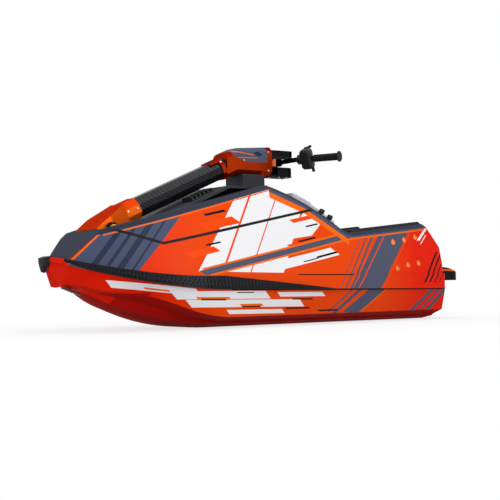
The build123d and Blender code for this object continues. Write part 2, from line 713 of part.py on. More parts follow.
sleeve_top = POLE_RISE + POLE_D / 2 + SLEEVE_T
sleeve_under = POLE_RISE - POLE_D / 2 - SLEEVE_T
with BuildPart() as pole_base:
    with BuildSketch(pole_side):
        Polygon(BASE_CHIN, BASE_NOSE, (0, sleeve_top - BASE_NOSE[1]), (BASE_WAIST, sleeve_top),
                (BASE_WAIST, sleeve_under), (BASE_BELLY, sleeve_under), (0, -KNUCKLE_R), align=None)
        Circle(KNUCKLE_R)
    extrude(amount=KNUCKLE_HALF, both=True)
    with BuildSketch(pole_flat):
        Polygon((-REACH, KNUCKLE_HALF), (KNUCKLE_L, KNUCKLE_HALF), (BASE_WAIST, POLE_W / 2 + SLEEVE_T),
                (BASE_WAIST, -POLE_W / 2 - SLEEVE_T), (KNUCKLE_L, -KNUCKLE_HALF), (-REACH, -KNUCKLE_HALF),
                align=None)
    extrude(amount=REACH, both=True, mode=Mode.INTERSECT)
    extrude(base_section, amount=BASE_END - BASE_WAIST)
    with BuildSketch(pole_side):
        Circle(PIN_R + PIN_GAP)
    extrude(amount=REACH, both=True, mode=Mode.SUBTRACT)
    add(pole_tube.part, mode=Mode.SUBTRACT)

pole_base.part.label = "pole_base"
export_step(pole_base.part, "parts/pole_base.step")

housing_top_z = HOUSING_UNDER_Z + HOUSING_T
clamp_under_z = housing_top_z + SPACER_LOW
bar_z = clamp_under_z + CLAMP_T / 2
clamp_top_z = clamp_under_z + CLAMP_T
plate_under_z = clamp_top_z + SPACER_TOP
plate_top_z = plate_under_z + TOP_PLATE_T
head_top_z = plate_top_z + HEAD_RISE
head_under_z = HOUSING_UNDER_Z + HEAD_SET
with BuildPart() as pole_head:
    with BuildSketch(Plane.XZ):
        Polygon((HEAD_FRONT_X, head_top_z - HEAD_BROW), (HEAD_CROWN_X, head_top_z - HEAD_CROWN),
                (HEAD_AFT_X, head_top_z), (HEAD_AFT_X, head_under_z), (HEAD_CHIN_X, head_under_z),
                (HEAD_FRONT_X, head_under_z - HEAD_CHIN), align=None)
    extrude(amount=HEAD_HALF, both=True)
    chamfer(pole_head.edges().filter_by(lambda e: abs(e.center().Y) > HEAD_HALF / 2
                                        and e.bounding_box().size.X > HEAD_CUT), HEAD_CUT)
    extrude(head_section, amount=HEAD_NECK - TONGUE_START)
    with BuildSketch(pole_side):
        with Locations((HEAD_START, POLE_RISE + TONGUE_N)):
            Rectangle(HEAD_START, 2 * POLE_D, align=(Align.MAX, Align.MAX))
    extrude(amount=REACH, both=True, mode=Mode.SUBTRACT)
    add(pole_tube.part, mode=Mode.SUBTRACT)

pole_head.part.label = "pole_head"
export_step(pole_head.part, "parts/pole_head.step")

with BuildPart() as head_top_plate:
    with BuildSketch(Plane.XY.offset(plate_under_z)):
        with Locations((HEAD_AFT_X, 0)):
            Rectangle(HEAD_AFT_X - PLATE_AFT_X, 2 * PLATE_HALF, align=(Align.MAX, Align.CENTER))
    extrude(amount=TOP_PLATE_T)
    fillet(head_top_plate.edges().filter_by(Axis.Z).group_by(Axis.X)[0], PLATE_CORNER)
    with BuildSketch(Plane.XY):
        with Locations((STEM_X, 0)):
            Circle(STEM_R + PIN_GAP)
    extrude(amount=2 * REACH, mode=Mode.SUBTRACT)

head_top_plate.part.label = "head_top_plate"
export_step(head_top_plate.part, "parts/head_top_plate.step")

with BuildPart() as head_lower_housing:
    with BuildSketch(Plane.XY.offset(HOUSING_UNDER_Z)):
        with Locations((HEAD_AFT_X, 0)):
            Rectangle(HEAD_AFT_X - PLATE_AFT_X, 2 * HOUSING_HALF, align=(Align.MAX, Align.CENTER))
    extrude(amount=HOUSING_T)
    fillet(head_lower_housing.edges().filter_by(Axis.Z).group_by(Axis.X)[0], PLATE_CORNER)
    with Locations((HEAD_AFT_X - WINDOW_SET, 0, HOUSING_UNDER_Z + HOUSING_FLOOR)):
        Box(WINDOW_L, 2 * REACH, HOUSING_T - HOUSING_FLOOR - HOUSING_ROOF,
            align=(Align.MAX, Align.CENTER, Align.MIN), mode=Mode.SUBTRACT)
    with BuildSketch(Plane.XY):
        with Locations((STEM_X, 0)):
            Circle(STEM_R + PIN_GAP)
    extrude(amount=2 * REACH, mode=Mode.SUBTRACT)

head_lower_housing.part.label = "head_lower_housing"
export_step(head_lower_housing.part, "parts/head_lower_housing.step")

# Handlebar on the stem between plate and housing.
with BuildPart() as steering_stem:
    with BuildSketch(Plane.XY.offset(HOUSING_UNDER_Z - STEM_END)):
        with Locations((STEM_X, 0)):
            RegularPolygon(STEM_R, SPACER_SIDES)
    extrude(amount=plate_top_z - HOUSING_UNDER_Z + 2 * STEM_END)
    for under_z, top_z, radius in ((HOUSING_UNDER_Z + HOUSING_FLOOR + SPACER_GAP,
                                    housing_top_z - HOUSING_ROOF - SPACER_GAP, COLLAR_R),
                                   (housing_top_z + SPACER_GAP, clamp_under_z, SPACER_R),
                                   (clamp_top_z, plate_under_z - SPACER_GAP, SPACER_R)):
        with BuildSketch(Plane.XY.offset(under_z)):
            with Locations((STEM_X, 0)):
                RegularPolygon(radius, SPACER_SIDES)
        extrude(amount=top_z - under_z)

steering_stem.part.label = "steering_stem"
export_step(steering_stem.part, "parts/steering_stem.step")

bar_end_x = BAR_X - BAR_LEG * sin(radians(BAR_SWEEP))
bar_end_y = BAR_BEND_Y + BAR_LEG * cos(radians(BAR_SWEEP))
with BuildPart() as handlebar:
    with BuildLine() as bar_path:
        FilletPolyline((bar_end_x, -bar_end_y, bar_z), (BAR_X, -BAR_BEND_Y, bar_z),
                       (BAR_X, BAR_BEND_Y, bar_z), (bar_end_x, bar_end_y, bar_z), radius=BAR_BEND_R)
    with BuildSketch(Plane(origin=bar_path.line @ 0, z_dir=bar_path.line % 0)):
        Circle(BAR_R)
    sweep()

handlebar.part.label = "handlebar"
export_step(handlebar.part, "parts/handlebar.step")

clamp_aft_x = BAR_X - CLAMP_WRAP
with BuildPart() as bar_clamp:
    with BuildSketch(Plane.XY.offset(clamp_under_z)):
        with Locations((STEM_X, 0)):
            Circle(CLAMP_NOSE)
        Polygon((STEM_X, CLAMP_NOSE), (STEM_X - CLAMP_FLARE, CLAMP_HALF), (clamp_aft_x, CLAMP_HALF),
                (clamp_aft_x, -CLAMP_HALF), (STEM_X - CLAMP_FLARE, -CLAMP_HALF), (STEM_X, -CLAMP_NOSE),
                align=None)
    extrude(amount=CLAMP_T)
    chamfer(bar_clamp.edges().filter_by(Axis.Y).group_by(Axis.X)[0], CLAMP_CUT)
    with BuildSketch(Plane.XY):
        with Locations((STEM_X, 0)):
            Circle(STEM_R + FIT)
    extrude(amount=2 * REACH, mode=Mode.SUBTRACT)
    with BuildSketch(Plane.XZ):
        with Locations((BAR_X, bar_z)):
            Circle(BAR_R + FIT)
    extrude(amount=REACH, both=True, mode=Mode.SUBTRACT)

bar_clamp.part.label = "bar_clamp"
export_step(bar_clamp.part, "parts/bar_clamp.step")

leg_dir = (-sin(radians(BAR_SWEEP)), cos(radians(BAR_SWEEP)), 0)


def leg_plane(along):
    """Plane across the port leg of the bar, at a distance along it from the bend."""
    spot = [p + along * d for p, d in zip((BAR_X, BAR_BEND_Y, bar_z), leg_dir)]
    return Plane(origin=spot, x_dir=(0, 0, 1), z_dir=leg_dir)


with BuildPart() as grip_port:
    with BuildSketch(leg_plane(GRIP_START)):
        RegularPolygon(GRIP_R, GRIP_SIDES)
    extrude(amount=BAR_LEG + GRIP_CAP - GRIP_START)
    with BuildSketch(leg_plane(GRIP_START)):
        RegularPolygon(GRIP_FLANGE_R, GRIP_SIDES)
    extrude(amount=GRIP_FLANGE_T)
    with BuildSketch(leg_plane(BAR_LEG + GRIP_CAP - GRIP_FLANGE_T)):
        RegularPolygon(GRIP_END_R, GRIP_SIDES)
    extrude(amount=GRIP_FLANGE_T)
    with BuildSketch(leg_plane(0)):
        Circle(BAR_R + FIT)
    extrude(amount=BAR_LEG + FIT, mode=Mode.SUBTRACT)

grip_port.part.label = "grip_port"
export_step(grip_port.part, "parts/grip_port.step")

with BuildPart() as grip_starboard:
    add(grip_port.part)
    mirror(about=Plane.XZ, mode=Mode.REPLACE)

grip_starboard.part.label = "grip_starboard"
export_step(grip_starboard.part, "parts/grip_starboard.step")

with BuildPart() as switch_housing:
    with BuildSketch(leg_plane(SWITCH_START)):
        Rectangle(SWITCH_TALL, SWITCH_DEEP, rotation=SWITCH_TILT)
    extrude(amount=SWITCH_L)
    chamfer(switch_housing.edges(), SWITCH_CUT)
    with BuildSketch(leg_plane(SWITCH_RING_START)):
        Circle(SWITCH_RING_R)
    extrude(amount=SWITCH_L)
    with BuildSketch(leg_plane(SWITCH_START + SWITCH_L - PADDLE_W)):
        with Locations(Location((0, 0, 0), (0, 0, SWITCH_TILT))):
            with Locations((-SWITCH_TALL / 2, 0)):
                Rectangle(PADDLE_L, PADDLE_T)
    extrude(amount=PADDLE_W)
    with BuildSketch(leg_plane(0)):
        Circle(BAR_R + FIT)
    extrude(amount=BAR_LEG, mode=Mode.SUBTRACT)

switch_housing.part.label = "switch_housing"
export_step(switch_housing.part, "parts/switch_housing.step")

with BuildPart() as throttle_lever:
    with BuildSketch(leg_plane(THROTTLE_START)):
        Circle(THROTTLE_R)
    extrude(amount=THROTTLE_L)
    with BuildSketch(leg_plane(THROTTLE_START)):
        Rectangle(LEVER_H, LEVER_OUT, align=(Align.CENTER, Align.MAX))
    extrude(amount=LEVER_T)
    with BuildSketch(leg_plane(THROTTLE_START)):
        with Locations((0, -LEVER_OUT)):
            Rectangle(LEVER_H, LEVER_T, align=(Align.CENTER, Align.MIN))
    extrude(amount=LEVER_L)
    with BuildSketch(leg_plane(0)):
        Circle(BAR_R + FIT)
    extrude(amount=BAR_LEG, mode=Mode.SUBTRACT)
    mirror(about=Plane.XZ, mode=Mode.REPLACE)

throttle_lever.part.label = "throttle_lever"
export_step(throttle_lever.part, "parts/throttle_lever.step")

# Pads, mat, rest block and fittings on hood and deck.
with BuildPart() as pole_rest:
    with Locations((REST_AFT_X, 0, SEAM_REAR[1])):
        Box(REST_L, 2 * REST_HALF, head_under_z - FIT - SEAM_REAR[1],
            align=(Align.MIN, Align.CENTER, Align.MIN))
    add(upper.part, mode=Mode.SUBTRACT)
    add(upper.part.moved(Location((0, 0, FIT))), mode=Mode.SUBTRACT)
    add(hood_insert.part, mode=Mode.SUBTRACT)

pole_rest.part.label = "pole_rest"
export_step(pole_rest.part, "parts/pole_rest.step")

pad_lean = (-sin(radians(PAD_TILT)), 0, cos(radians(PAD_TILT)))
hood_pad_aft_x = SEAM_REAR[0] - HOOD_PAD_OVER
bulkhead_pad_front_x = hood_pad_aft_x - PAD_GAP
with BuildPart() as hood_pad:
    add(side_prism.part.moved(Location(Vector(pad_lean) * HOOD_PAD_T)))
    with Locations((HOOD_PAD_FRONT_X, 0, SEAM_LOW[1])):
        Box(HOOD_PAD_FRONT_X - hood_pad_aft_x, 2 * HOOD_PAD_HALF, REACH,
            align=(Align.MAX, Align.CENTER, Align.MIN), mode=Mode.INTERSECT)
    add(side_prism.part, mode=Mode.SUBTRACT)

hood_pad.part.label = "hood_pad"
export_step(hood_pad.part, "parts/hood_pad.step")

with BuildPart() as bulkhead_pad:
    add(side_prism.part.moved(Location(Vector(pad_lean) * BULKHEAD_PAD_T)))
    with Locations((bulkhead_pad_front_x, 0, GUNNEL_FRONT[1])):
        Box(bulkhead_pad_front_x - BULKHEAD_PAD_AFT_X, 2 * BULKHEAD_PAD_HALF, REACH,
            align=(Align.MAX, Align.CENTER, Align.MIN), mode=Mode.INTERSECT)
    add(side_prism.part, mode=Mode.SUBTRACT)

bulkhead_pad.part.label = "bulkhead_pad"
export_step(bulkhead_pad.part, "parts/bulkhead_pad.step")

# Two knobs on the port edge of the slope, square to it.
slope_arc = ThreePointArc(PEAK, SLOPE_MID, GUNNEL_FRONT, mode=Mode.PRIVATE)
slope_centre = (slope_arc.arc_center.X, slope_arc.arc_center.Y)
knob_r = slope_arc.radius + FIT
for name, x in (("deck_knob_front", KNOB_FRONT_X), ("deck_knob_rear", KNOB_REAR_X)):
    tilt = (x - slope_centre[0]) / knob_r
    knob_plane = Plane(origin=(x, KNOB_Y, slope_centre[1] + knob_r * sqrt(1 - tilt**2)),
                       z_dir=(tilt, 0, sqrt(1 - tilt**2)))
    with BuildPart() as deck_knob:
        with BuildSketch(knob_plane):
            Circle(KNOB_STEM_R)
        extrude(amount=KNOB_STEM)
        with BuildSketch(knob_plane.offset(KNOB_STEM)):
            RegularPolygon(KNOB_R, KNOB_SIDES)
        extrude(amount=KNOB_H)
    deck_knob.part.label = name
    export_step(deck_knob.part, f"parts/{name}.step")

# Ribbed vents beside the pole, square to the slope of the insert.
vent_z = RECESS_TOP[1] + INSERT_T - recess_slope * (VENT_X - RECESS_TOP[0])
vent_plane = Plane(origin=(VENT_X, VENT_Y, vent_z), x_dir=pole_dir, z_dir=pole_up)
with BuildPart() as hood_vent_port:
    with BuildSketch(vent_plane):
        Rectangle(VENT_L, VENT_W)
    extrude(amount=VENT_H, taper=VENT_LEAN)
    with BuildSketch(vent_plane.offset(VENT_FOOT)):
        with GridLocations(VENT_PITCH, 0, VENT_SLOTS, 1):
            Rectangle(VENT_SLOT, 2 * VENT_W)
    extrude(amount=VENT_H, mode=Mode.SUBTRACT)

hood_vent_port.part.label = "hood_vent_port"
export_step(hood_vent_port.part, "parts/hood_vent_port.step")

with BuildPart() as hood_vent_starboard:
    add(hood_vent_port.part)
    mirror(about=Plane.XZ, mode=Mode.REPLACE)

hood_vent_starboard.part.label = "hood_vent_starboard"
export_step(hood_vent_starboard.part, "parts/hood_vent_starboard.step")

with BuildPart() as tray_mat:
    with Locations((TRAY_FRONT_X - MAT_EDGE, 0, TRAY_FLOOR_Z)):
        Box(TRAY_FRONT_X - TRANSOM_X - 2 * MAT_EDGE, 2 * (TRAY_HALF - MAT_EDGE), MAT_T,
            align=(Align.MAX, Align.CENTER, Align.MIN))

tray_mat.part.label = "tray_mat"
export_step(tray_mat.part, "parts/tray_mat.step")

gunnel_slope = (GUNNEL_END[1] - GUNNEL_FRONT[1]) / (GUNNEL_END[0] - GUNNEL_FRONT[0])
pad_front_x = GUNNEL_FRONT[0] - GUNNEL_PAD_SET
pad_aft_x = GUNNEL_END[0] + GUNNEL_PAD_END
pad_front_z = GUNNEL_FRONT[1] + gunnel_slope * (pad_front_x - GUNNEL_FRONT[0])
pad_aft_z = GUNNEL_FRONT[1] + gunnel_slope * (pad_aft_x - GUNNEL_FRONT[0])
pad_inner = TRAY_HALF + tan(radians(TRAY_DRAFT)) * (GUNNEL_END[1] - TRAY_FLOOR_Z) + GUNNEL_PAD_EDGE
with BuildPart() as gunnel_pad_port:
    with BuildSketch(Plane.XZ.offset(-pad_inner)):
        Polygon((pad_front_x, pad_front_z), (pad_aft_x, pad_aft_z), (pad_aft_x, pad_aft_z + GUNNEL_PAD_T),
                (pad_front_x, pad_front_z + GUNNEL_PAD_T), align=None)
    extrude(amount=-GUNNEL_PAD_W - GUNNEL_PAD_FLARE)
    with BuildSketch():
        Polygon((pad_aft_x, pad_inner), (pad_aft_x, pad_inner + GUNNEL_PAD_W),
                (pad_front_x, pad_inner + GUNNEL_PAD_W + GUNNEL_PAD_FLARE), (pad_front_x, pad_inner),
                align=None)
    extrude(amount=REACH, mode=Mode.INTERSECT)

gunnel_pad_port.part.label = "gunnel_pad_port"
export_step(gunnel_pad_port.part, "parts/gunnel_pad_port.step")

with BuildPart() as gunnel_pad_starboard:
    add(gunnel_pad_port.part)
    mirror(about=Plane.XZ, mode=Mode.REPLACE)

gunnel_pad_starboard.part.label = "gunnel_pad_starboard"
export_step(gunnel_pad_starboard.part, "parts/gunnel_pad_starboard.step")

with BuildPart() as foot_hold_port:
    with BuildSketch(Plane(origin=(HOLD_FRONT_X, 0, 0), x_dir=(0, 1, 0), z_dir=(1, 0, 0))):
        with Locations((HOLD_Y, HOLD_Z)):
            Circle(HOLD_R)
            Circle(HOLD_R - HOLD_T, mode=Mode.SUBTRACT)
        with Locations(Location((HOLD_Y, HOLD_Z, 0), (0, 0, -HOLD_LEAN))):
            Rectangle(2 * HOLD_R, 2 * HOLD_R, align=(Align.MAX, Align.MIN), mode=Mode.INTERSECT)
    extrude(amount=-HOLD_L)
    add(deck.part, mode=Mode.SUBTRACT)

foot_hold_port.part.label = "foot_hold_port"
export_step(foot_hold_port.part, "parts/foot_hold_port.step")

with BuildPart() as foot_hold_starboard:
    add(foot_hold_port.part)
    mirror(about=Plane.XZ, mode=Mode.REPLACE)

foot_hold_starboard.part.label = "foot_hold_starboard"
export_step(foot_hold_starboard.part, "parts/foot_hold_starboard.step")

# Jet drive under the tray.
with BuildPart() as pump_housing:
    with BuildSketch(Plane(origin=(TUNNEL_FRONT_X - PUMP_SET, 0, SHAFT_Z), z_dir=(-1, 0, 0))):
        Circle(PUMP_R)
        Circle(PUMP_BORE, mode=Mode.SUBTRACT)
    extrude(amount=TUNNEL_FRONT_X - PUMP_SET - PUMP_AFT_X)
    with BuildSketch(Plane(origin=(PUMP_AFT_X, 0, SHAFT_Z), z_dir=(1, 0, 0))):
        Circle(HUB_R)
        with PolarLocations((HUB_R + PUMP_BORE) / 2, VANES):
            Rectangle(PUMP_BORE - HUB_R + 2 * VANE_ROOT, VANE_T)
    extrude(amount=STATOR_L)

pump_housing.part.label = "pump_housing"
export_step(pump_housing.part, "parts/pump_housing.step")

ring_x = PUMP_AFT_X - EXIT_RING_L
ring_r = PUMP_R - EXIT_RING_IN
ear_under = BOSS_R + NOZZLE_EAR_GAP
ear_top = ear_under + NOZZLE_EAR_T


def shaft_section(x, radius):
    """Many sided section across the shaft line at x."""
    with BuildSketch(Plane(origin=(x, 0, SHAFT_Z), x_dir=(0, 1, 0), z_dir=(-1, 0, 0))) as section:
        RegularPolygon(radius, NOZZLE_SIDES)
    return section.sketch


def shaft_taper(x, radius, end_radius, length):
    """Many sided taper along the shaft line, aft from x."""
    draft = atan2((radius - end_radius) * cos(pi / NOZZLE_SIDES), length)
    return extrude(shaft_section(x, radius), amount=length, taper=degrees(draft), mode=Mode.PRIVATE)


spout_bore = SPOUT_R - SPOUT_T
nozzle_rim = NOZZLE_BORE + NOZZLE_T
nozzle_end_bore = NOZZLE_BORE - NOZZLE_TAPER
with BuildPart() as exit_nozzle:
    extrude(shaft_section(PUMP_AFT_X, ring_r), amount=EXIT_RING_L)
    add(shaft_taper(ring_x, ring_r, SPOUT_R, CONE_L - EXIT_RING_L))
    extrude(shaft_section(SPOUT_X, SPOUT_R), amount=SPOUT_L)
    add(shaft_taper(PUMP_AFT_X, PUMP_BORE, spout_bore, CONE_L), mode=Mode.SUBTRACT)
    extrude(shaft_section(SPOUT_X, spout_bore), amount=SPOUT_L, mode=Mode.SUBTRACT)
    with Locations((NOZZLE_PIVOT_X, 0, SHAFT_Z + SPOUT_R - SPOUT_T / 2)):
        Box(2 * BOSS_HALF, 2 * BOSS_HALF, BOSS_R - SPOUT_R + SPOUT_T / 2,
            align=(Align.CENTER, Align.CENTER, Align.MIN))
    with Locations((NOZZLE_PIVOT_X, 0, SHAFT_Z + BOSS_R)):
        Cylinder(NOZZLE_PIN_R, ear_top - BOSS_R + NOZZLE_EAR_GAP,
                 align=(Align.CENTER, Align.CENTER, Align.MIN))
    mirror(about=Plane.XY.offset(SHAFT_Z))

exit_nozzle.part.label = "exit_nozzle"
export_step(exit_nozzle.part, "parts/exit_nozzle.step")

with BuildPart() as steering_nozzle:
    add(shaft_taper(NOZZLE_FRONT_X, nozzle_rim, nozzle_rim - NOZZLE_TAPER, NOZZLE_L))
    add(shaft_taper(NOZZLE_FRONT_X, NOZZLE_BORE, nozzle_end_bore, NOZZLE_L), mode=Mode.SUBTRACT)
    with BuildSketch(Plane.XY.offset(SHAFT_Z + ear_under)):
        with Locations((NOZZLE_PIVOT_X, 0)):
            Circle(NOZZLE_EAR_HALF)
            Rectangle(NOZZLE_PIVOT_X - NOZZLE_FRONT_X + NOZZLE_EAR_T, 2 * NOZZLE_EAR_HALF,
                      align=(Align.MAX, Align.CENTER))
            Circle(NOZZLE_PIN_R + PIN_GAP, mode=Mode.SUBTRACT)
    extrude(amount=NOZZLE_EAR_T)
    mirror(about=Plane.XY.offset(SHAFT_Z))

steering_nozzle.part.label = "steering_nozzle"
export_step(steering_nozzle.part, "parts/steering_nozzle.step")

with BuildPart() as drive_shaft:
    with BuildSketch(Plane(origin=(BAY_AFT_X + SHAFT_SET, 0, SHAFT_Z), z_dir=(-1, 0, 0))):
        Circle(SHAFT_R)
    extrude(amount=BAY_AFT_X + SHAFT_SET - IMPELLER_FRONT_X)

drive_shaft.part.label = "drive_shaft"
export_step(drive_shaft.part, "parts/drive_shaft.step")

with BuildPart() as impeller:
    with BuildSketch(Plane(origin=(IMPELLER_FRONT_X, 0, SHAFT_Z), z_dir=(-1, 0, 0))):
        Circle(HUB_R)
    extrude(amount=IMPELLER_L)
    for i in range(BLADES):
        turn = radians(i * 360 / BLADES)
        with BuildSketch(Plane(origin=(IMPELLER_FRONT_X - IMPELLER_L / 2, sin(turn) * HUB_R / 2,
                                       SHAFT_Z + cos(turn) * HUB_R / 2),
                               x_dir=(cos(radians(BLADE_PITCH)), sin(radians(BLADE_PITCH)) * cos(turn),
                                      -sin(radians(BLADE_PITCH)) * sin(turn)),
                               z_dir=(0, sin(turn), cos(turn)))):
            Rectangle(BLADE_CHORD, BLADE_T)
        extrude(amount=BLADE_R - HUB_R / 2)

impeller.part.label = "impeller"
export_step(impeller.part, "parts/impeller.step")

with BuildPart() as ride_plate:
    with Locations((TUNNEL_FRONT_X, 0, 0)):
        Box(TUNNEL_FRONT_X - RIDE_AFT_X, 2 * (INTAKE_HALF - FIT), RIDE_T,
            align=(Align.MAX, Align.CENTER, Align.MIN))

ride_plate.part.label = "ride_plate"
export_step(ride_plate.part, "parts/ride_plate.step")

grate_front_x = INTAKE_FRONT_X - GRATE_SET
grate_l = grate_front_x - TUNNEL_FRONT_X - FIT
with BuildPart() as intake_grate:
    with BuildSketch():
        with Locations((grate_front_x, 0)):
            Rectangle(grate_l, 2 * (INTAKE_HALF - FIT), align=(Align.MAX, Align.CENTER))
        with Locations((grate_front_x - GRATE_EDGE, 0)):
            with GridLocations(0, GRATE_PITCH, 1, GRATE_SLOTS):
                Rectangle(grate_l - 2 * GRATE_EDGE, GRATE_SLOT, align=(Align.MAX, Align.CENTER),
                          mode=Mode.SUBTRACT)
    extrude(amount=GRATE_T)

intake_grate.part.label = "intake_grate"
export_step(intake_grate.part, "parts/intake_grate.step")
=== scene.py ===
"""Stand up personal watercraft: finishes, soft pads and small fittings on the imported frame, in metres."""
import json
import math

import bmesh
import bpy
from mathutils import Matrix, Vector
from mathutils.bvhtree import BVHTree


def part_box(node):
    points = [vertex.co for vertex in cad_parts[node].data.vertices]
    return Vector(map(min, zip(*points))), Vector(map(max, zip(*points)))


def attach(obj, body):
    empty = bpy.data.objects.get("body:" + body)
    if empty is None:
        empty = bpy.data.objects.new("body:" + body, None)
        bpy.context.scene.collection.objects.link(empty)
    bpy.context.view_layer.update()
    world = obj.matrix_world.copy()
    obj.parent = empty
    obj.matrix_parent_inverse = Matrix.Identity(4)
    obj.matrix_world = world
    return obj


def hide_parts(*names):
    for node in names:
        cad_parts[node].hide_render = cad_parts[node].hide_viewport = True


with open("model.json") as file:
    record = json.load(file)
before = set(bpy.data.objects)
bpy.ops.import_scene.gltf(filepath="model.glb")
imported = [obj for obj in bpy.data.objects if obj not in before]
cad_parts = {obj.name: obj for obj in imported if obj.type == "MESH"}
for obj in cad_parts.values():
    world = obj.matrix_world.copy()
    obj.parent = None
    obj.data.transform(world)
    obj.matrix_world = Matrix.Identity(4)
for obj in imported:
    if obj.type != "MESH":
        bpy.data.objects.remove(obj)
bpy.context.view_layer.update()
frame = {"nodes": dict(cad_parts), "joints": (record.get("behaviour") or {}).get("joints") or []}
nodes = frame["nodes"]

# Hull: the bottom moulding, with a keel pad, lifting strakes and a hard chine.
# It is glass fibre laid up in a mould behind gelcoat. The bottom is left plain red,
# and the sides wear a printed vinyl wrap that is pressed on and trimmed at the chine.


class Shade:
    """A socket of a material, with the sums that the finishes are written in."""

    def __init__(self, socket):
        self.socket = socket

    def node(self, kind, settings=None, inputs=None, out=0):
        """A new node beside this one: its settings are made first, then its values and links."""
        made = self.socket.id_data.nodes.new(kind)
        for key, value in (settings or {}).items():
            setattr(made, key, value)
        for key, value in (inputs or {}).items():
            if isinstance(value, Shade):
                made.id_data.links.new(value.socket, made.inputs[key])
            else:
                made.inputs[key].default_value = value
        return Shade(made.outputs[out])

    def math(self, operation, *others):
        return self.node("ShaderNodeMath", {"operation": operation}, dict(enumerate((self, *others))))

    def ramp(self, start, end, low=0.0, high=1.0):
        """From low to high while this value runs from start to end."""
        return self.node("ShaderNodeMapRange", inputs={0: self, 1: start, 2: end, 3: low, 4: high})

    def between(self, first, second):
        """The colour that lies this share of the way from the first to the second."""
        return self.node("ShaderNodeMix", {"data_type": "RGBA"}, {0: self, 6: first, 7: second}, 2)

    def feed(self, shader, name):
        shader.id_data.links.new(self.socket, shader.inputs[name])

    def __add__(self, other):
        return self.math("ADD", other)

    def __sub__(self, other):
        return self.math("SUBTRACT", other)

    def __rsub__(self, other):
        return self.node("ShaderNodeMath", {"operation": "SUBTRACT"}, {0: other, 1: self})

    def __mul__(self, other):
        return self.math("MULTIPLY", other)

    def __gt__(self, other):
        return self.math("GREATER_THAN", other)

    def __lt__(self, other):
        return self.math("LESS_THAN", other)

    def __or__(self, other):
        return self.math("MAXIMUM", other)

    __radd__ = __add__
    __rmul__ = __mul__
    __ror__ = __or__


def tint(red, green, blue):
    """Linear colour from a paint chip's 0 to 255 values."""
    parts = [c / 255 for c in (red, green, blue)]
    return tuple(c / 12.92 if c <= 0.04045 else ((c + 0.055) / 1.055) ** 2.4 for c in parts) + (1.0,)


def new_finish(name, **fixed):
    """An empty material, its shader with fixed values set, and the spot on the piece in metres."""
    material = bpy.data.materials.new(name)
    material.use_nodes = True
    shader = material.node_tree.nodes["Principled BSDF"]
    for key, value in fixed.items():
        shader.inputs[key.replace("_", " ")].default_value = value
    spot = Shade(shader.outputs[0]).node("ShaderNodeTexCoord", out="Object")
    return material, shader, spot


def axes(spot):
    """The three coordinates of a spot."""
    return [spot.node("ShaderNodeSeparateXYZ", inputs={0: spot}, out=i) for i in range(3)]


def facing_up(spot):
    """1 where the surface faces straight up, 0 on its walls, -1 underneath."""
    return axes(spot.node("ShaderNodeNewGeometry", out="Normal"))[2]


def grain(spot, cells, share=None):
    """Cloudy noise from 0 to 1, or to a share of that, with so many cells to a metre."""
    noise = spot.node("ShaderNodeTexNoise", inputs={"Vector": spot, "Scale": cells})
    return noise * share if share else noise


def bump(shader, height, depth):
    """Raises the surface by depth metres where height is 1."""
    raised = height.node("ShaderNodeBump", inputs={"Height": height, "Distance": depth, "Strength": 1.0})
    raised.feed(shader, "Normal")


def dress(material, *names):
    """Puts a finish on CAD nodes, in place of what came with them."""
    for name in names:
        mesh = nodes[name].data
        mesh.materials.clear()
        mesh.materials.append(material)


def side_view(spot):
    """A spot as it lies in side view: X, Z and a 1 for the constant of a line."""
    x, _, z = axes(spot)
    return spot.node("ShaderNodeCombineXYZ", inputs={0: x, 1: z, 2: 1.0})


def left_of(flat, a, b):
    """How far a side view spot lies to the left of the line from a to b, in metres."""
    run = Vector(b) - Vector(a)
    across = Vector((-run.y, run.x)).normalized()
    line = (across.x, across.y, -across.dot(Vector(a)))
    return flat.node("ShaderNodeVectorMath", {"operation": "DOT_PRODUCT"}, {0: flat, 1: line}, "Value")


def patch(flat, corners):
    """1 inside a convex patch of side view corners."""
    turn = (Vector(corners[1]) - Vector(corners[0])).cross(Vector(corners[2]) - Vector(corners[1]))
    ring = list(corners) if turn > 0 else list(reversed(corners))
    inside = left_of(flat, ring[-1], ring[0])
    for a, b in zip(ring, ring[1:]):
        inside = inside.math("MINIMUM", left_of(flat, a, b))
    return inside > 0.0


STROKE_LEAN = 1.1


def stroke(start, end, width):
    """Corners of a straight stroke between two side view points, its ends cut on the slant."""
    run = (Vector(end) - Vector(start)).normalized()
    half = Vector((-run.y, run.x)) * width / 2
    slant = run * STROKE_LEAN * width / 2 * (1 if run.x > 0 else -1)
    return [Vector(start) - half + slant, Vector(end) - half + slant,
            Vector(end) + half - slant, Vector(start) + half - slant]


RED = tint(230, 30, 2)
ORANGE = tint(244, 74, 4)
AMBER = tint(246, 106, 14)
WHITE = tint(238, 238, 241)
SLATE = tint(80, 85, 104)
TOP_SLATE = tint(48, 51, 66)
NAVY = tint(46, 51, 74)
INK = tint(16, 15, 18)
BOTTOM_RED = tint(182, 16, 8)
BOW_FADE = 0.35
STERN_FADE = 0.3
HATCH_PITCH = 0.0085
HATCH_LINE = 0.3
HATCH_INK = 0.3
TOP_FACING = 0.5
BOTTOM_FACING = -0.62
DOWNWARD = -0.3
VINYL_ROUGH = 0.28
TOP_ROUGH = 0.35
BOTTOM_ROUGH = 0.4
CHINE_RISE = 0.158
TRAY_HALF = 0.222
TRAY_FLOOR = 0.236
TRAY_FRONT = -0.29
LIP_FRONT = -0.958


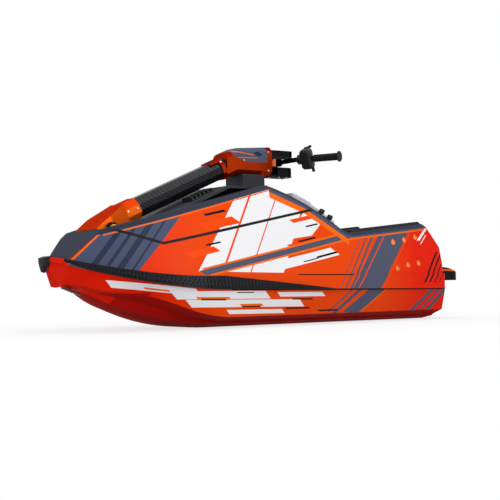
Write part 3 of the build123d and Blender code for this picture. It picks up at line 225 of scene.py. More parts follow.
def wrap(name, art, bow_x, stern_x):
    """Printed wrap: art over a red to orange ground on the sides, slate on top and inside, red below."""
    material, shader, spot = new_finish(name, Specular_IOR_Level=0.07)
    x, y, z = axes(spot)
    up = facing_up(spot)
    flat = side_view(spot)
    middle = x.ramp(bow_x, bow_x - BOW_FADE) * x.ramp(stern_x, stern_x + STERN_FADE)
    colour = middle.between(RED, ORANGE)
    hatch = ((x + z) * (1 / HATCH_PITCH)).math("FRACT") < HATCH_LINE
    colour = (hatch * middle * HATCH_INK).between(colour, INK)
    for ink, shapes in art:
        printed = patch(flat, shapes[0])
        for corners in shapes[1:]:
            printed = printed | patch(flat, corners)
        colour = printed.between(colour, ink)
    top = up > TOP_FACING
    tray = (y.math("ABSOLUTE") < TRAY_HALF) * (z > TRAY_FLOOR) * (x < TRAY_FRONT)
    colour = (top | tray).between(colour, TOP_SLATE)
    colour = (top * (x < LIP_FRONT)).between(colour, INK)
    colour = ((up < BOTTOM_FACING) * (z < CHINE_RISE)).between(colour, BOTTOM_RED)
    speckle = grain(spot, cells=900.0, share=0.06)
    speckle.between(colour, INK).feed(shader, "Base Color")
    smears = grain(spot, cells=35.0, share=0.12)
    unpolished = (up < DOWNWARD) * BOTTOM_ROUGH + top * TOP_ROUGH
    (smears + unpolished + VINYL_ROUGH).feed(shader, "Roughness")
    bump(shader, grain(spot, cells=260.0), depth=0.00012)
    return material


# A dark stroke under the deck flange's lower edge: painted shadow along the bond line.
BOND_SHADOW = stroke((0.36, 0.1645), (-0.96, 0.148), 0.006)
HULL_ART = [
    (WHITE, [stroke((0.87, 0.198), (0.52, 0.156), 0.028), stroke((0.62, 0.146), (0.16, 0.140), 0.034),
             stroke((0.55, 0.110), (-0.04, 0.100), 0.032), stroke((0.36, 0.070), (0.06, 0.066), 0.018),
             stroke((0.10, 0.140), (-0.16, 0.137), 0.020)]),
    (SLATE, [stroke((-0.20, 0.052), (-0.34, 0.160), 0.008), stroke((-0.24, 0.046), (-0.39, 0.160), 0.018),
             stroke((-0.34, 0.046), (-0.50, 0.160), 0.064), stroke((-0.74, 0.046), (-0.88, 0.160), 0.020),
             stroke((-0.80, 0.046), (-0.93, 0.160), 0.012), stroke((-0.85, 0.046), (-0.97, 0.160), 0.020)]),
    (AMBER, [stroke((-0.40, 0.046), (-0.56, 0.160), 0.006), stroke((0.52, 0.132), (0.36, 0.129), 0.010),
             stroke((0.30, 0.098), (0.18, 0.097), 0.010), stroke((0.74, 0.178), (0.64, 0.164), 0.007)]),
    (INK, [stroke((0.50, 0.126), (0.38, 0.123), 0.006), stroke((0.29, 0.091), (0.19, 0.090), 0.005),
           stroke((0.05, 0.078), (-0.09, 0.076), 0.007), stroke((-0.14, 0.062), (-0.26, 0.062), 0.007),
           stroke((0.33, 0.152), (0.24, 0.151), 0.004), stroke((0.02, 0.118), (-0.10, 0.116), 0.006),
           BOND_SHADOW]),
]
dress(wrap("hull_wrap", HULL_ART, bow_x=0.72, stern_x=-0.80), "hull")

# Jet drive: the engine block, the pump with its two nozzles, the ride plate and the intake grate.
# They are cast alloy, and the shaft and impeller are turned from stainless steel.
# The pump is bolted into the tunnel of the hull, ahead of the nozzle that swings with the bar.
TARNISH = tint(70, 70, 74)
MARK_ROUGH = 0.2


def bare_metal(name, colour, rough):
    """Turned or cast metal with fine tool marks."""
    material, shader, spot = new_finish(name, Metallic=1.0)
    stains = grain(spot, cells=20.0, share=0.4)
    marks = grain(spot, cells=700.0)
    stains.between(colour, TARNISH).feed(shader, "Base Color")
    (marks * MARK_ROUGH + rough).feed(shader, "Roughness")
    bump(shader, marks, depth=0.00006)
    return material


cast = bare_metal("cast_alloy", tint(150, 150, 152), rough=0.38)
steel = bare_metal("stainless_steel", tint(206, 204, 200), rough=0.16)
dress(cast, "pump_housing", "exit_nozzle", "steering_nozzle", "ride_plate", "intake_grate", "engine_block")
dress(steel, "drive_shaft", "impeller")

# Deck: the upper moulding with the rider's tray, bonded to the hull at the flange.
# Glass fibre in gelcoat, like the hull. It wears the same wrap,
# with slate and amber bands along its edges and plain slate on top.
HOOD_PEAK = (0.121, 0.622)
TRAY_CORNER = (-0.322, 0.416)
FRONT_RIDGE = [(0.886, 0.420), HOOD_PEAK]
HOOD_SLOPE = [HOOD_PEAK, (-0.072, 0.554), TRAY_CORNER]
GUNNEL = [TRAY_CORNER, (-0.838, 0.470)]


def edge_band(edge, below, width):
    """Patches that follow a top edge of the deck from corner to corner, a distance below it."""
    low = below + width / 2
    high = below - width / 2
    return [[(x0, z0 - low), (x1, z1 - low), (x1, z1 - high), (x0, z0 - high)]
            for (x0, z0), (x1, z1) in zip(edge, edge[1:])]


def stripes(start, end, pitch, widths):
    """A row of like strokes, each a pitch further along X than the one before it."""
    return [stroke((start[0] + pitch * i, start[1]), (end[0] + pitch * i, end[1]), width)
            for i, width in enumerate(widths)]


BOW_SLATE = tint(72, 80, 106)
BOW_FIELD = [(1.028, 0.262), (0.780, 0.232), (0.560, 0.500), (0.890, 0.418)]
BOW_STRIPES = stripes((0.945, 0.245), (0.795, 0.462), pitch=-0.050, widths=(0.020, 0.012, 0.022, 0.008))
BOW_LINE = stroke((1.010, 0.280), (0.884, 0.416), 0.007)
WHITE_FIELDS = [[(0.520, 0.244), (0.080, 0.234), (-0.060, 0.530), (0.115, 0.606), (0.300, 0.570)],
                [(0.050, 0.380), (-0.100, 0.400), (-0.175, 0.470), (-0.080, 0.520)],
                stroke((0.120, 0.262), (-0.230, 0.330), 0.042)]
WHITE_CUTS = stripes((0.408, 0.226), (0.208, 0.610), pitch=-0.145, widths=(0.010, 0.006))
WHITE_CUTS += [stroke((0.560, 0.310), (0.420, 0.338), 0.026),
               stroke((0.480, 0.430), (0.310, 0.464), 0.036),
               stroke((0.030, 0.345), (-0.160, 0.383), 0.030),
               stroke((0.010, 0.462), (-0.120, 0.488), 0.018)]
STERN_FIELD = [(-0.310, 0.148), (-0.490, 0.148), (-0.740, 0.450), (-0.540, 0.440)]
STERN_STRIPES = stripes((-0.300, 0.148), (-0.500, 0.440), pitch=0.035, widths=(0.012, 0.008, 0.004))
STERN_SLASHES = stripes((-0.800, 0.180), (-0.910, 0.330), pitch=-0.035, widths=(0.011, 0.009, 0.007, 0.005))
LIP_BACK = -1.1
LIP_FIELD = [(LIP_FRONT, 0.185), (LIP_BACK, 0.185), (LIP_BACK, 0.275), (LIP_FRONT, 0.275)]
DECK_ART = [
    (BOW_SLATE, [BOW_FIELD]),
    (NAVY, BOW_STRIPES),
    (WHITE, WHITE_FIELDS),
    (ORANGE, WHITE_CUTS),
    (SLATE, [stroke((0.440, 0.548), (0.345, 0.568), 0.016), stroke((0.330, 0.562), (0.262, 0.577), 0.010)]),
    (AMBER, [stroke((0.480, 0.240), (-0.300, 0.398), 0.040)]),
    (SLATE, [stroke((0.500, 0.236), (-0.330, 0.404), 0.024)]),
    (INK, [stroke((0.470, 0.480), (0.365, 0.502), 0.010), stroke((0.475, 0.352), (0.400, 0.367), 0.007),
           stroke((-0.020, 0.372), (-0.120, 0.392), 0.008), stroke((-0.120, 0.302), (-0.240, 0.326), 0.009),
           stroke((-0.040, 0.282), (-0.130, 0.300), 0.005),
           stroke((-0.070, 0.440), (-0.140, 0.454), 0.007)]),
    (SLATE, [STERN_FIELD] + STERN_STRIPES),
    (ORANGE, [stroke((-0.345, 0.148), (-0.590, 0.450), 0.006),
              stroke((-0.505, 0.148), (-0.755, 0.450), 0.005)]),
    (INK, STERN_SLASHES + [LIP_FIELD, BOND_SHADOW, stroke((0.000, 0.2255), (-0.330, 0.2225), 0.005)]),
    (AMBER, [stroke((LIP_FRONT, 0.242), (LIP_BACK, 0.236), 0.008)]),
    (WHITE, [stroke((-0.785, 0.385), (-0.850, 0.445), 0.013),
             stroke((-0.800, 0.368), (-0.845, 0.412), 0.005)]),
    (AMBER, edge_band(FRONT_RIDGE, below=0.024, width=0.006)
            + edge_band(HOOD_SLOPE, below=0.043, width=0.026)
            + edge_band(GUNNEL, below=0.030, width=0.007) + [BOW_LINE]),
    (SLATE, edge_band(FRONT_RIDGE, below=0.009, width=0.022)
            + edge_band(HOOD_SLOPE, below=0.014, width=0.034)
            + edge_band(GUNNEL, below=0.012, width=0.026)),
]
deck_wrap = wrap("deck_wrap", DECK_ART, bow_x=0.84, stern_x=-0.76)
dress(deck_wrap, "deck")

# Rub rails and nose bumper: guards over the bond flange that take the knocks at a dock.
# The rails are woven carbon under clear resin with ribs moulded across them, and the bumper is rubber.
# Both are glued and screwed on after hull and deck are joined.


def textured_plastic(name, colour, cell, depth, rough):
    """Moulded plastic or rubber with a pebbled skin."""
    material, shader, spot = new_finish(name, Specular_IOR_Level=0.22)
    pebble = spot.node("ShaderNodeTexVoronoi", inputs={"Vector": spot, "Scale": 1 / cell})
    scuffs = grain(spot, cells=18.0, share=0.5)
    scuffs.between(colour, INK).feed(shader, "Base Color")
    (grain(spot, cells=60.0, share=0.18) + rough).feed(shader, "Roughness")
    bump(shader, pebble, depth)
    return material


WEFT_BLACK = tint(14, 14, 16)
WARP_GREY = tint(36, 36, 41)
WEFT_ROUGH = 0.34
WARP_GLOSS = 0.12
TOW_CROWN = 0.06
TWILL_REPEAT = 4
OFF_EDGE = 0.01


def woven(name, tow, slope):
    """Twill cloth of carbon tows under clear resin, laid at a slope in side view."""
    material, shader, spot = new_finish(name, Coat_Weight=0.03, Coat_Roughness=0.08, Specular_IOR_Level=0.1)
    x, y, z = axes(spot)
    warp = (x * math.cos(slope) + z * math.sin(slope)) * (1 / tow)
    weft = (z * math.cos(slope) - x * math.sin(slope) + y) * (1 / tow)
    twill = (warp.math("FLOOR") - weft.math("FLOOR")) * (1 / TWILL_REPEAT) + OFF_EDGE
    over = twill.math("FRACT") < 0.5
    over.between(WEFT_BLACK, WARP_GREY).feed(shader, "Base Color")
    (WEFT_ROUGH - over * WARP_GLOSS).feed(shader, "Roughness")
    crown = warp.math("PINGPONG", 0.5) * over + weft.math("PINGPONG", 0.5) * (1 - over)
    bump(shader, crown, depth=tow * TOW_CROWN)
    return material


def skin(name):
    """The surface of a CAD node, for finding where a fitting sits."""
    mesh = nodes[name].data
    points = [vertex.co.copy() for vertex in mesh.vertices]
    return BVHTree.FromPolygons(points, [list(polygon.vertices) for polygon in mesh.polygons])


def landing(surface, start, way):
    """Where a line from start meets a surface, and which way the surface faces there."""
    place, normal, *_ = surface.ray_cast(Vector(start), Vector(way))
    return place, normal


def skinned(rings):
    """Points and faces of a closed solid through rings of equally many points."""
    count = len(rings[0])
    points = [point for ring in rings for point in ring]
    faces = [list(range(count)), list(range(len(points) - count, len(points)))]
    for start in range(0, len(points) - count, count):
        for i in range(count):
            after = (i + 1) % count
            faces.append([start + i, start + after, start + count + after, start + count + i])
    return points, faces


SHARP_EDGE = math.radians(42)


def fit(name, solids, finish, body):
    """One object of several solids, with smooth faces and sharp edges, riding on a body."""
    built = bmesh.new()
    for points, faces in solids:
        corners = [built.verts.new(point) for point in points]
        for face in faces:
            built.faces.new([corners[i] for i in face])
    bmesh.ops.recalc_face_normals(built, faces=built.faces)
    mesh = bpy.data.meshes.new(name)
    built.to_mesh(mesh)
    built.free()
    for polygon in mesh.polygons:
        polygon.use_smooth = True
    mesh.set_sharp_from_angle(angle=SHARP_EDGE)
    mesh.materials.append(finish)
    piece = bpy.data.objects.new(name, mesh)
    bpy.context.collection.objects.link(piece)
    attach(piece, body)
    return piece


EDGE_ROUND = 0.0016
EDGE_ANGLE = math.radians(28)
WELD_REACH = 0.00002


def soften(*names):
    """Breaks the hard edges of CAD nodes as they show, so that they catch the light."""
    for name in names:
        weld = nodes[name].modifiers.new("weld", "WELD")
        weld.merge_threshold = WELD_REACH
        rounding = nodes[name].modifiers.new("edge_round", "BEVEL")
        rounding.width = EDGE_ROUND
        rounding.segments = 2
        rounding.limit_method = "ANGLE"
        rounding.angle_limit = EDGE_ANGLE


RIB_COUNT = 50
RIB_PITCH = 0.021
RIB_FIRST_X = 0.93
RIB_LOW_Z = 0.150
RIB_STEP = 0.004
RIB_STEPS = 40
RIB_LEAN = 0.7
RIB_HALF = 0.004
RIB_RISE = 0.0022
RAIL_OUTWARD = 0.5


def rail_rib(surface, side, x):
    """Rings of one leaning rib, from the foot of a rail's outer face to its head."""
    foot = Vector((RIB_HALF, 0, 0))
    crown = foot / 2
    rings = []
    for step in range(RIB_STEPS):
        rise = RIB_STEP * step
        place, normal = landing(surface, (x - RIB_LEAN * rise, side, RIB_LOW_Z + rise), (0, -side, 0))
        if place and abs(normal.y) > RAIL_OUTWARD:
            lift = normal * RIB_RISE
            rings.append([place - foot - lift, place - crown + lift,
                          place + crown + lift, place + foot - lift])
    return rings[1:-1]


SIDES = (("port", 1), ("starboard", -1))
carbon = woven("rail_carbon", tow=0.006, slope=0.6)
black_rubber = textured_plastic("black_rubber", tint(13, 13, 14), cell=0.0009, depth=0.0001, rough=0.55)
dress(carbon, "rail_port", "rail_starboard")
dress(black_rubber, "nose_bumper")
soften("nose_bumper")
for label, side in SIDES:
    rail_skin = skin(f"rail_{label}")
    ribs = [rail_rib(rail_skin, side, RIB_FIRST_X - RIB_PITCH * i) for i in range(RIB_COUNT)]
    fit(f"rail_ribs_{label}", [skinned(rib) for rib in ribs if len(rib) > 2], carbon, "craft")

# Drain plugs: two screwed plugs low on the transom that let the hull drain ashore.
# They are black plastic, moulded with flats for the fingers, and close on a washer.


def turned(profile, place, axis, sides):
    """A lathe turned solid: profile rows are distances along the axis and radii."""
    axis = Vector(axis).normalized()
    side = axis.orthogonal().normalized()
    other = axis.cross(side)
    angles = [math.tau * i / sides for i in range(sides)]
    return skinned([[Vector(place) + axis * along + (side * math.cos(a) + other * math.sin(a)) * radius
                     for a in angles] for along, radius in profile])


def seated(profile, radius, surface, start, way, sides):
    """A turned fitting where a line meets a surface: its profile has distances and shares of the radius."""
    place, normal = landing(surface, start, way)
    return turned([(along, share * radius) for along, share in profile], place, normal, sides)


black_plastic = textured_plastic("black_plastic", tint(18, 18, 20), cell=0.0016, depth=0.00015, rough=0.38)
PLUG = [(-0.002, 1.25), (0.003, 1.25), (0.004, 1.0), (0.014, 0.94), (0.016, 0.8), (0.016, 0.3)]
PLUG_R = 0.013
PLUG_Y = 0.21
PLUG_Z = 0.075
ASTERN = -2.0
hull_skin = skin("hull")
plugs = [seated(PLUG, PLUG_R, hull_skin, (ASTERN, y, PLUG_Z), (1, 0, 0), sides=14)
         for y in (-PLUG_Y, PLUG_Y)]
fit("drain_plugs", plugs, black_plastic, "craft")

# Foot holds and stern bolts: two arched holds in the tray, each held by six dome head bolts from outside.
# The holds are moulded rubber, and the bolts are turned alloy with a copper coloured anodised finish.
DYED_METAL = 0.85
BRUSH_CELLS = (6.0, 400.0, 400.0)
PAINTED_LIGHT_SHARE = 0.75
BRUSH_SHARE = 0.04
BRUSH_ROUGH = 0.08
SATIN = 0.3


def anodised(name, deep, bright, metal=DYED_METAL):
    """Dyed aluminium, brushed along its length, with painted shade on top and painted light underneath."""
    material, shader, spot = new_finish(name, Metallic=metal, Specular_IOR_Level=0.0, Specular_Tint=deep)
    stretched = spot.node("ShaderNodeMapping", inputs={"Vector": spot, "Scale": BRUSH_CELLS})
    brush = grain(stretched, cells=1.0)
    # Painted light: the colour runs from the deep tone on upward faces to the bright tone on downward
    # faces.
    painted_light_below = facing_up(spot).ramp(start=0.45, end=-0.35)
    clouds = grain(spot, cells=9.0, share=0.2)
    colour = (painted_light_below * PAINTED_LIGHT_SHARE + clouds + brush * BRUSH_SHARE).between(deep, bright)
    colour.feed(shader, "Base Color")
    (brush * BRUSH_ROUGH + SATIN).feed(shader, "Roughness")
    bump(shader, brush, depth=0.00002)
    return material, shader, spot, colour


COPPER_DEEP = tint(206, 84, 38)
COPPER_BRIGHT = tint(255, 158, 92)
BOLT_R = 0.0125
BOLT_SPOTS = [(-0.609, 0.376), (-0.686, 0.387), (-0.766, 0.402),
              (-0.621, 0.251), (-0.696, 0.266), (-0.771, 0.275)]
DOME = [(-0.002, 1.15), (0.0015, 1.15), (0.002, 0.98), (0.0045, 0.86), (0.0065, 0.62), (0.0075, 0.3)]
polished_copper, *_ = anodised("polished_copper", COPPER_DEEP, COPPER_BRIGHT)
dress(black_rubber, "foot_hold_port", "foot_hold_starboard")
soften("foot_hold_port", "foot_hold_starboard")
deck_skin = skin("deck")
for label, side in SIDES:
    domes = [seated(DOME, BOLT_R, deck_skin, (x, side, z), (0, -side, 0), sides=20) for x, z in BOLT_SPOTS]
    fit(f"stern_bolts_{label}", domes, polished_copper, "craft")

# Hood: the lift-off engine cover, with a plastic insert, two vents and the pole's rest between its ridges.
# Its shell is glass fibre in the deck's wrap, and the insert, vents and rest are moulded plastic.
# It lies on a soft black rubber seal, and two knobs on the bulkhead hold it down.
dress(deck_wrap, "hood")
insert_plastic = textured_plastic("insert_plastic", tint(46, 47, 54), cell=0.002, depth=0.0002, rough=0.42)
rest_plastic = textured_plastic("rest_block", tint(44, 44, 48), cell=0.0016, depth=0.00015, rough=0.5)
dress(insert_plastic, "hood_insert")
dress(rest_plastic, "pole_rest")
dress(black_plastic, "hood_vent_port", "hood_vent_starboard", "deck_knob_front", "deck_knob_rear")
dress(black_rubber, "hood_seal")
soften("pole_rest")

# Foam: pads on the hood's slope, the bulkhead, the gunnels and the tray floor.
# They are cut from sheets of closed cell foam, grey or black, with rounded edges
# and grooves routed across them, and are glued down.
FOAM_CELLS = 900.0
CELL_ROUGH = 0.2


def foam(name, colour, rough):
    """Cut closed cell foam, matt, with open cells on the surface."""
    material, shader, spot = new_finish(name, Specular_IOR_Level=0.3)
    cells = spot.node("ShaderNodeTexVoronoi", inputs={"Vector": spot, "Scale": FOAM_CELLS})
    stains = grain(spot, cells=40.0, share=0.25)
    stains.between(colour, INK).feed(shader, "Base Color")
    (cells * CELL_ROUGH + rough).feed(shader, "Roughness")
    bump(shader, cells, depth=0.0003)
    return material


PAD_STEP = 0.001
PAD_INSET = 0.0005
GLUE = 0.0003
STEEPEST = 0.5
OVERHEAD = 1.0


def pad_walk(node, y, thick):
    """Even steps aft along the foot of a CAD pad: the places under it, and which way they face."""
    low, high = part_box(node)
    surface = skin(node)
    walk = []
    x = high[0] - PAD_INSET
    while x > low[0] + PAD_INSET:
        place, normal = landing(surface, (x, y, OVERHEAD), (0, 0, -1))
        walk.append((place - normal * (thick - GLUE), normal))
        x -= PAD_STEP * max(normal.z, STEEPEST)
    return walk


PAD_EDGE = [(0.0, 0.4), (0.004, 0.8), (0.010, 1.0)]
GROOVE_HALF = 0.0032


def pad_rows(length, thick, pitch, groove):
    """Distances along a pad and its height there: rounded ends, and a groove at every pitch."""
    rows = [(inset, thick * share) for inset, share in PAD_EDGE]
    along = pitch
    while along < length - pitch / 2:
        rows += [(along - GROOVE_HALF, thick), (along - GROOVE_HALF / 2, thick - groove),
                 (along + GROOVE_HALF / 2, thick - groove), (along + GROOVE_HALF, thick)]
        along += pitch
    return rows + [(length - inset, thick * share) for inset, share in reversed(PAD_EDGE)]


PAD_COLUMNS = 8


def foam_pad(name, node, edges, thick, pitch, groove, finish):
    """A grooved pad in place of a CAD pad: edges gives its low and high Y at the front and at the back."""
    low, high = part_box(node)
    (front_low, front_high), (back_low, back_high) = edges
    walk = pad_walk(node, (back_low + back_high) / 2, thick)
    length = PAD_STEP * (len(walk) - 1)
    rings = []
    for along, height in pad_rows(length, thick, pitch, groove):
        place, normal = walk[min(len(walk) - 1, max(0, round(along / PAD_STEP)))]
        share = along / length
        near = front_low + (back_low - front_low) * share
        far = front_high + (back_high - front_high) * share
        tops = [(near + inset, height * rise) for inset, rise in PAD_EDGE]
        tops += [(near + (far - near) * i / PAD_COLUMNS, height) for i in range(1, PAD_COLUMNS)]
        tops += [(far - inset, height * rise) for inset, rise in PAD_EDGE]
        ring = [Vector((place.x, far, place.z)), Vector((place.x, near, place.z))]
        for y, rise in sorted(tops):
            spot = Vector((place.x, y, place.z)) + normal * rise
            spot.x = min(high[0], max(low[0], spot.x))
            ring.append(spot)
        rings.append(ring)
    pad = fit(name, [skinned(rings)], finish, "craft")
    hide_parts(node)


grey_foam = foam("grey_foam", tint(190, 189, 194), rough=0.72)
black_foam = foam("black_foam", tint(30, 30, 33), rough=0.75)
HOOD_FOAM = 0.026
BULKHEAD_FOAM = 0.030
GUNNEL_FOAM = 0.012
GUNNEL_END = 0.02
GREY_PITCH = 0.024
GREY_GROOVE = 0.004
MAT_PITCH = 0.022
GUNNEL_PITCH = 0.030
BLACK_GROOVE = 0.003
for node, name, thick in (("hood_pad", "hood_foam", HOOD_FOAM),
                          ("bulkhead_pad", "bulkhead_foam", BULKHEAD_FOAM)):
    low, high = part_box(node)
    edges = [(low[1], high[1])] * 2
    foam_pad(name, node, edges, thick, GREY_PITCH, GREY_GROOVE, grey_foam)
low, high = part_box("tray_mat")
edges = [(low[1], high[1])] * 2
thick = high[2] - low[2]
foam_pad("tray_foam", "tray_mat", edges, thick, MAT_PITCH, BLACK_GROOVE, black_foam)
for label, _ in SIDES:
    node = f"gunnel_pad_{label}"
    low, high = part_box(node)
    spots = [vertex.co for vertex in nodes[node].data.vertices]
    edges = []
    for end in (high[0], low[0]):
        across = [spot.y for spot in spots if abs(spot.x - end) < GUNNEL_END]
        edges.append((min(across), max(across)))
    name = f"gunnel_foam_{label}"
    foam_pad(name, node, edges, GUNNEL_FOAM, GUNNEL_PITCH, BLACK_GROOVE, black_foam)

# Tow strap: a loop of black nylon webbing under the bow, to tie up or tow the craft by.
# The tape is woven in ribs across its length and passes through a slot in the hull.
YARN_DARK = tint(12, 12, 13)
YARN_LIGHT = tint(44, 44, 47)
YARN_ROUGH = 0.6
RIB_ROUGH = 0.2


def webbing(name, rib):
    """Ribbed nylon tape."""
    material, shader, spot = new_finish(name, Sheen_Weight=0.3)
    x, y, _ = axes(spot)
    ribs = (x * (1 / rib)).math("PINGPONG", 0.5) * 2
    yarn = (y * (2 / rib)).math("PINGPONG", 0.5) * 2
    weave = ribs * yarn
    weave.between(YARN_DARK, YARN_LIGHT).feed(shader, "Base Color")
    (ribs * RIB_ROUGH + YARN_ROUGH).feed(shader, "Roughness")
    bump(shader, weave, depth=0.0004)
    return material


dress(webbing("strap_webbing", rib=0.003), "tow_loop")

# Handle pole: a folded carbon tube between a base and a head, with the steering plates at its end.
# Base and head are milled alloy, dyed copper, the head under a vinyl cover. Bracket and plates are black.
# The base turns on a gilt pin with a bolt at each end, in a bracket that is screwed to the deck.
HEAD_COVER = [(0.176, 0.816), (-0.034, 0.822), (-0.034, 0.752), (0.070, 0.748), (0.150, 0.772)]
HEAD_LINES = [stroke((0.166, 0.796), (0.040, 0.782), 0.004), stroke((0.130, 0.766), (0.020, 0.770), 0.003)]
HEAD_DIAMOND = [(0.020, 0.800), (-0.012, 0.786), (0.016, 0.776), (0.046, 0.790)]
VINYL_DULLS = 0.8
HEAD_DEEP = tint(80, 12, 8)
HEAD_BRIGHT = tint(196, 60, 10)
head_copper, head_shader, head_spot, head_colour = anodised("head_copper", HEAD_DEEP, HEAD_BRIGHT)
head_flat = side_view(head_spot)
vinyl = patch(head_flat, HEAD_COVER)
head_colour = vinyl.between(head_colour, SLATE)
for corners in HEAD_LINES:
    head_colour = patch(head_flat, corners).between(head_colour, AMBER)
head_colour = patch(head_flat, HEAD_DIAMOND).between(head_colour, NAVY)
head_colour.feed(head_shader, "Base Color")
(DYED_METAL - vinyl * VINYL_DULLS).feed(head_shader, "Metallic")
base_copper, *_ = anodised("base_copper", tint(190, 44, 14), tint(250, 120, 26), metal=0.45)
black_anodised, *_ = anodised("black_anodised", tint(15, 15, 17), tint(34, 34, 38))
gilt = bare_metal("gilt_pin", tint(236, 176, 92), rough=0.18)
dress(head_copper, "pole_head")
dress(base_copper, "pole_base")
dress(polished_copper, "steering_stem")
dress(black_anodised, "pole_bracket", "head_top_plate", "head_lower_housing")
dress(woven("pole_carbon", tow=0.005, slope=-0.41), "pole_tube")
dress(gilt, "pivot_pin")
soften("pole_base", "pole_head", "head_top_plate", "head_lower_housing", "pole_bracket", "pole_tube")
PIVOT_BOLT = [(-0.002, 0.0165), (0.0015, 0.0165), (0.0018, 0.0125),
              (0.0070, 0.0125), (0.0080, 0.0110), (0.0080, 0.005)]
PIN_CLEAR = 0.019
pivot = Vector(next(joint["pos_m"] for joint in frame["joints"] if joint["name"] == "pole_lift"))
bracket_skin = skin("pole_bracket")
bolts = []
for side in (1, -1):
    ear, _ = landing(bracket_skin, pivot + Vector((PIN_CLEAR, side, 0)), (0, -side, 0))
    bolts.append(turned(PIVOT_BOLT, (pivot.x, ear.y, pivot.z), (0, side, 0), sides=6))
fit("pivot_bolts", bolts, gilt, "craft")

# Pole screws: socket head screws that hold the head, the base, the steering plates and the deck bracket.
# They are stainless steel, turned with a hollow for the key, and stand on the faces that they clamp.
SCREW = [(-0.001, 1.0), (0.0022, 1.0), (0.003, 0.86), (0.003, 0.5), (0.001, 0.46)]


def screws(name, node, starts, way, body, radius):
    """A set of screws where lines from their starts, all one way, meet a CAD node."""
    surface = skin(node)
    heads = [seated(SCREW, radius, surface, start, way, sides=16) for start in starts]
    fit(name, heads, steel, body)


UNDER_HEAD = 0.5
HEAD_SCREWS = [(0.098, 0.756), (0.215, 0.742), (-0.040, 0.712), (-0.040, 0.800)]
BASE_SCREWS = [(0.655, 0.520), (0.700, 0.505)]
HOUSING_SCREWS = [(x, y, UNDER_HEAD) for x in (-0.120, -0.165, -0.192) for y in (-0.034, 0.034)]
PLATE_SCREWS = [(x, y, OVERHEAD) for x in (-0.120, -0.180) for y in (-0.036, 0.036)]
BRACKET_SCREWS = [(x, y, OVERHEAD) for x in (0.772, 0.838) for y in (-0.127, 0.127)]
for label, side in SIDES:
    inward = (0, -side, 0)
    head_starts = [(x, side, z) for x, z in HEAD_SCREWS]
    base_starts = [(x, side, z) for x, z in BASE_SCREWS]
    screws(f"head_screws_{label}", "pole_head", head_starts, inward, "pole", radius=0.0048)
    screws(f"base_screws_{label}", "pole_base", base_starts, inward, "pole", radius=0.005)
screws("housing_screws", "head_lower_housing", HOUSING_SCREWS, (0, 0, 1), "pole", radius=0.0045)
screws("plate_screws", "head_top_plate", PLATE_SCREWS, (0, 0, -1), "pole", radius=0.006)
screws("bracket_screws", "pole_bracket", BRACKET_SCREWS, (0, 0, -1), "craft", radius=0.006)

# Handlebar: a bent alloy tube in a split clamp that turns with the stem between the two plates.
# Both are anodised: the nose of the clamp copper, the rest of it and the bar black.
CLAMP_NOSE_X = -0.104
two_tone, clamp_shader, clamp_spot, clamp_colour = anodised("clamp_two_tone", COPPER_DEEP, COPPER_BRIGHT)
behind_nose = axes(clamp_spot)[0] < CLAMP_NOSE_X
behind_nose.between(clamp_colour, INK).feed(clamp_shader, "Base Color")
dress(two_tone, "bar_clamp")
dress(black_anodised, "handlebar")
soften("bar_clamp")

# Grips: ribbed sleeves with a flange at the outer end, so that the hands don't slip off.
# They are moulded from soft black rubber in one piece and pushed over the ends of the bar.
GRIP_RIBS = 26
GRIP_BODY = 0.68
GRIP_MOUTH = 0.9
GRIP_RIB = [(0.1, 0.88), (0.3, 1.0), (0.75, 1.0), (0.95, 0.88)]
GRIP_FLANGE = [(-0.006, 0.97), (-0.002, 1.0), (0.0, 0.92)]
for label, side in SIDES:
    grip_mesh = nodes[f"grip_{label}"].data
    end = max(grip_mesh.polygons, key=lambda polygon: abs(polygon.normal.y)).normal
    axis = end * math.copysign(1, end.y * side)
    centre = sum((vertex.co for vertex in grip_mesh.vertices), Vector()) / len(grip_mesh.vertices)
    spots = [vertex.co - centre for vertex in grip_mesh.vertices]
    reach = [spot.dot(axis) for spot in spots]
    flange_r = max((spot - axis * spot.dot(axis)).length for spot in spots)
    body_r = GRIP_BODY * flange_r
    inner_end = min(reach)
    pitch = (max(reach) + GRIP_FLANGE[0][0] - inner_end) / GRIP_RIBS
    profile = [(inner_end, body_r * GRIP_MOUTH)]
    for i in range(GRIP_RIBS):
        profile += [(inner_end + pitch * (i + share), body_r * size) for share, size in GRIP_RIB]
    profile += [(max(reach) + along, flange_r * size) for along, size in GRIP_FLANGE]
    sleeve = turned(profile, centre, axis, sides=32)
    grip = fit(f"ribbed_grip_{label}", [sleeve], black_rubber, "bar")
    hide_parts(f"grip_{label}")

# Switch and throttle: a pod with start and stop buttons and a choke lever by the port grip,
# and a thumb throttle in its own pod by the starboard grip.
# They are moulded from black plastic in halves that are screwed together round the bar.
BUTTON = [(-0.001, 1.0), (0.003, 1.0), (0.0042, 0.86), (0.0042, 0.4)]
BUTTON_R = 0.0075
BUTTON_Y = 0.212
CHOKE_LEVER = [(0.010, -0.004), (-0.012, -0.004), (-0.030, 0.012),
               (-0.024, 0.019), (-0.004, 0.009), (0.008, 0.007)]
CHOKE_HALF = 0.005
dress(black_plastic, "switch_housing", "throttle_lever")
pod_skin = skin("switch_housing")
START_GREEN = tint(30, 92, 44)
STOP_RED = tint(168, 20, 16)
for label, z, colour in (("start", 0.772, START_GREEN), ("stop", 0.744, STOP_RED)):
    button = seated(BUTTON, BUTTON_R, pod_skin, (ASTERN, BUTTON_Y, z), (1, 0, 0), sides=20)
    button_plastic = textured_plastic(f"{label}_plastic", colour, cell=0.001, depth=0.00005, rough=0.35)
    fit(f"{label}_button", [button], button_plastic, "bar")
pod_low, pod_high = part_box("switch_housing")
pod_top = Vector(((pod_low[0] + pod_high[0]) / 2, (pod_low[1] + pod_high[1]) / 2, pod_high[2]))
lever = [[pod_top + Vector((x, side * CHOKE_HALF, z)) for x, z in CHOKE_LEVER] for side in (-1, 1)]
fit("choke_lever", [skinned(lever)], black_plastic, "bar")
soften("switch_housing", "throttle_lever")

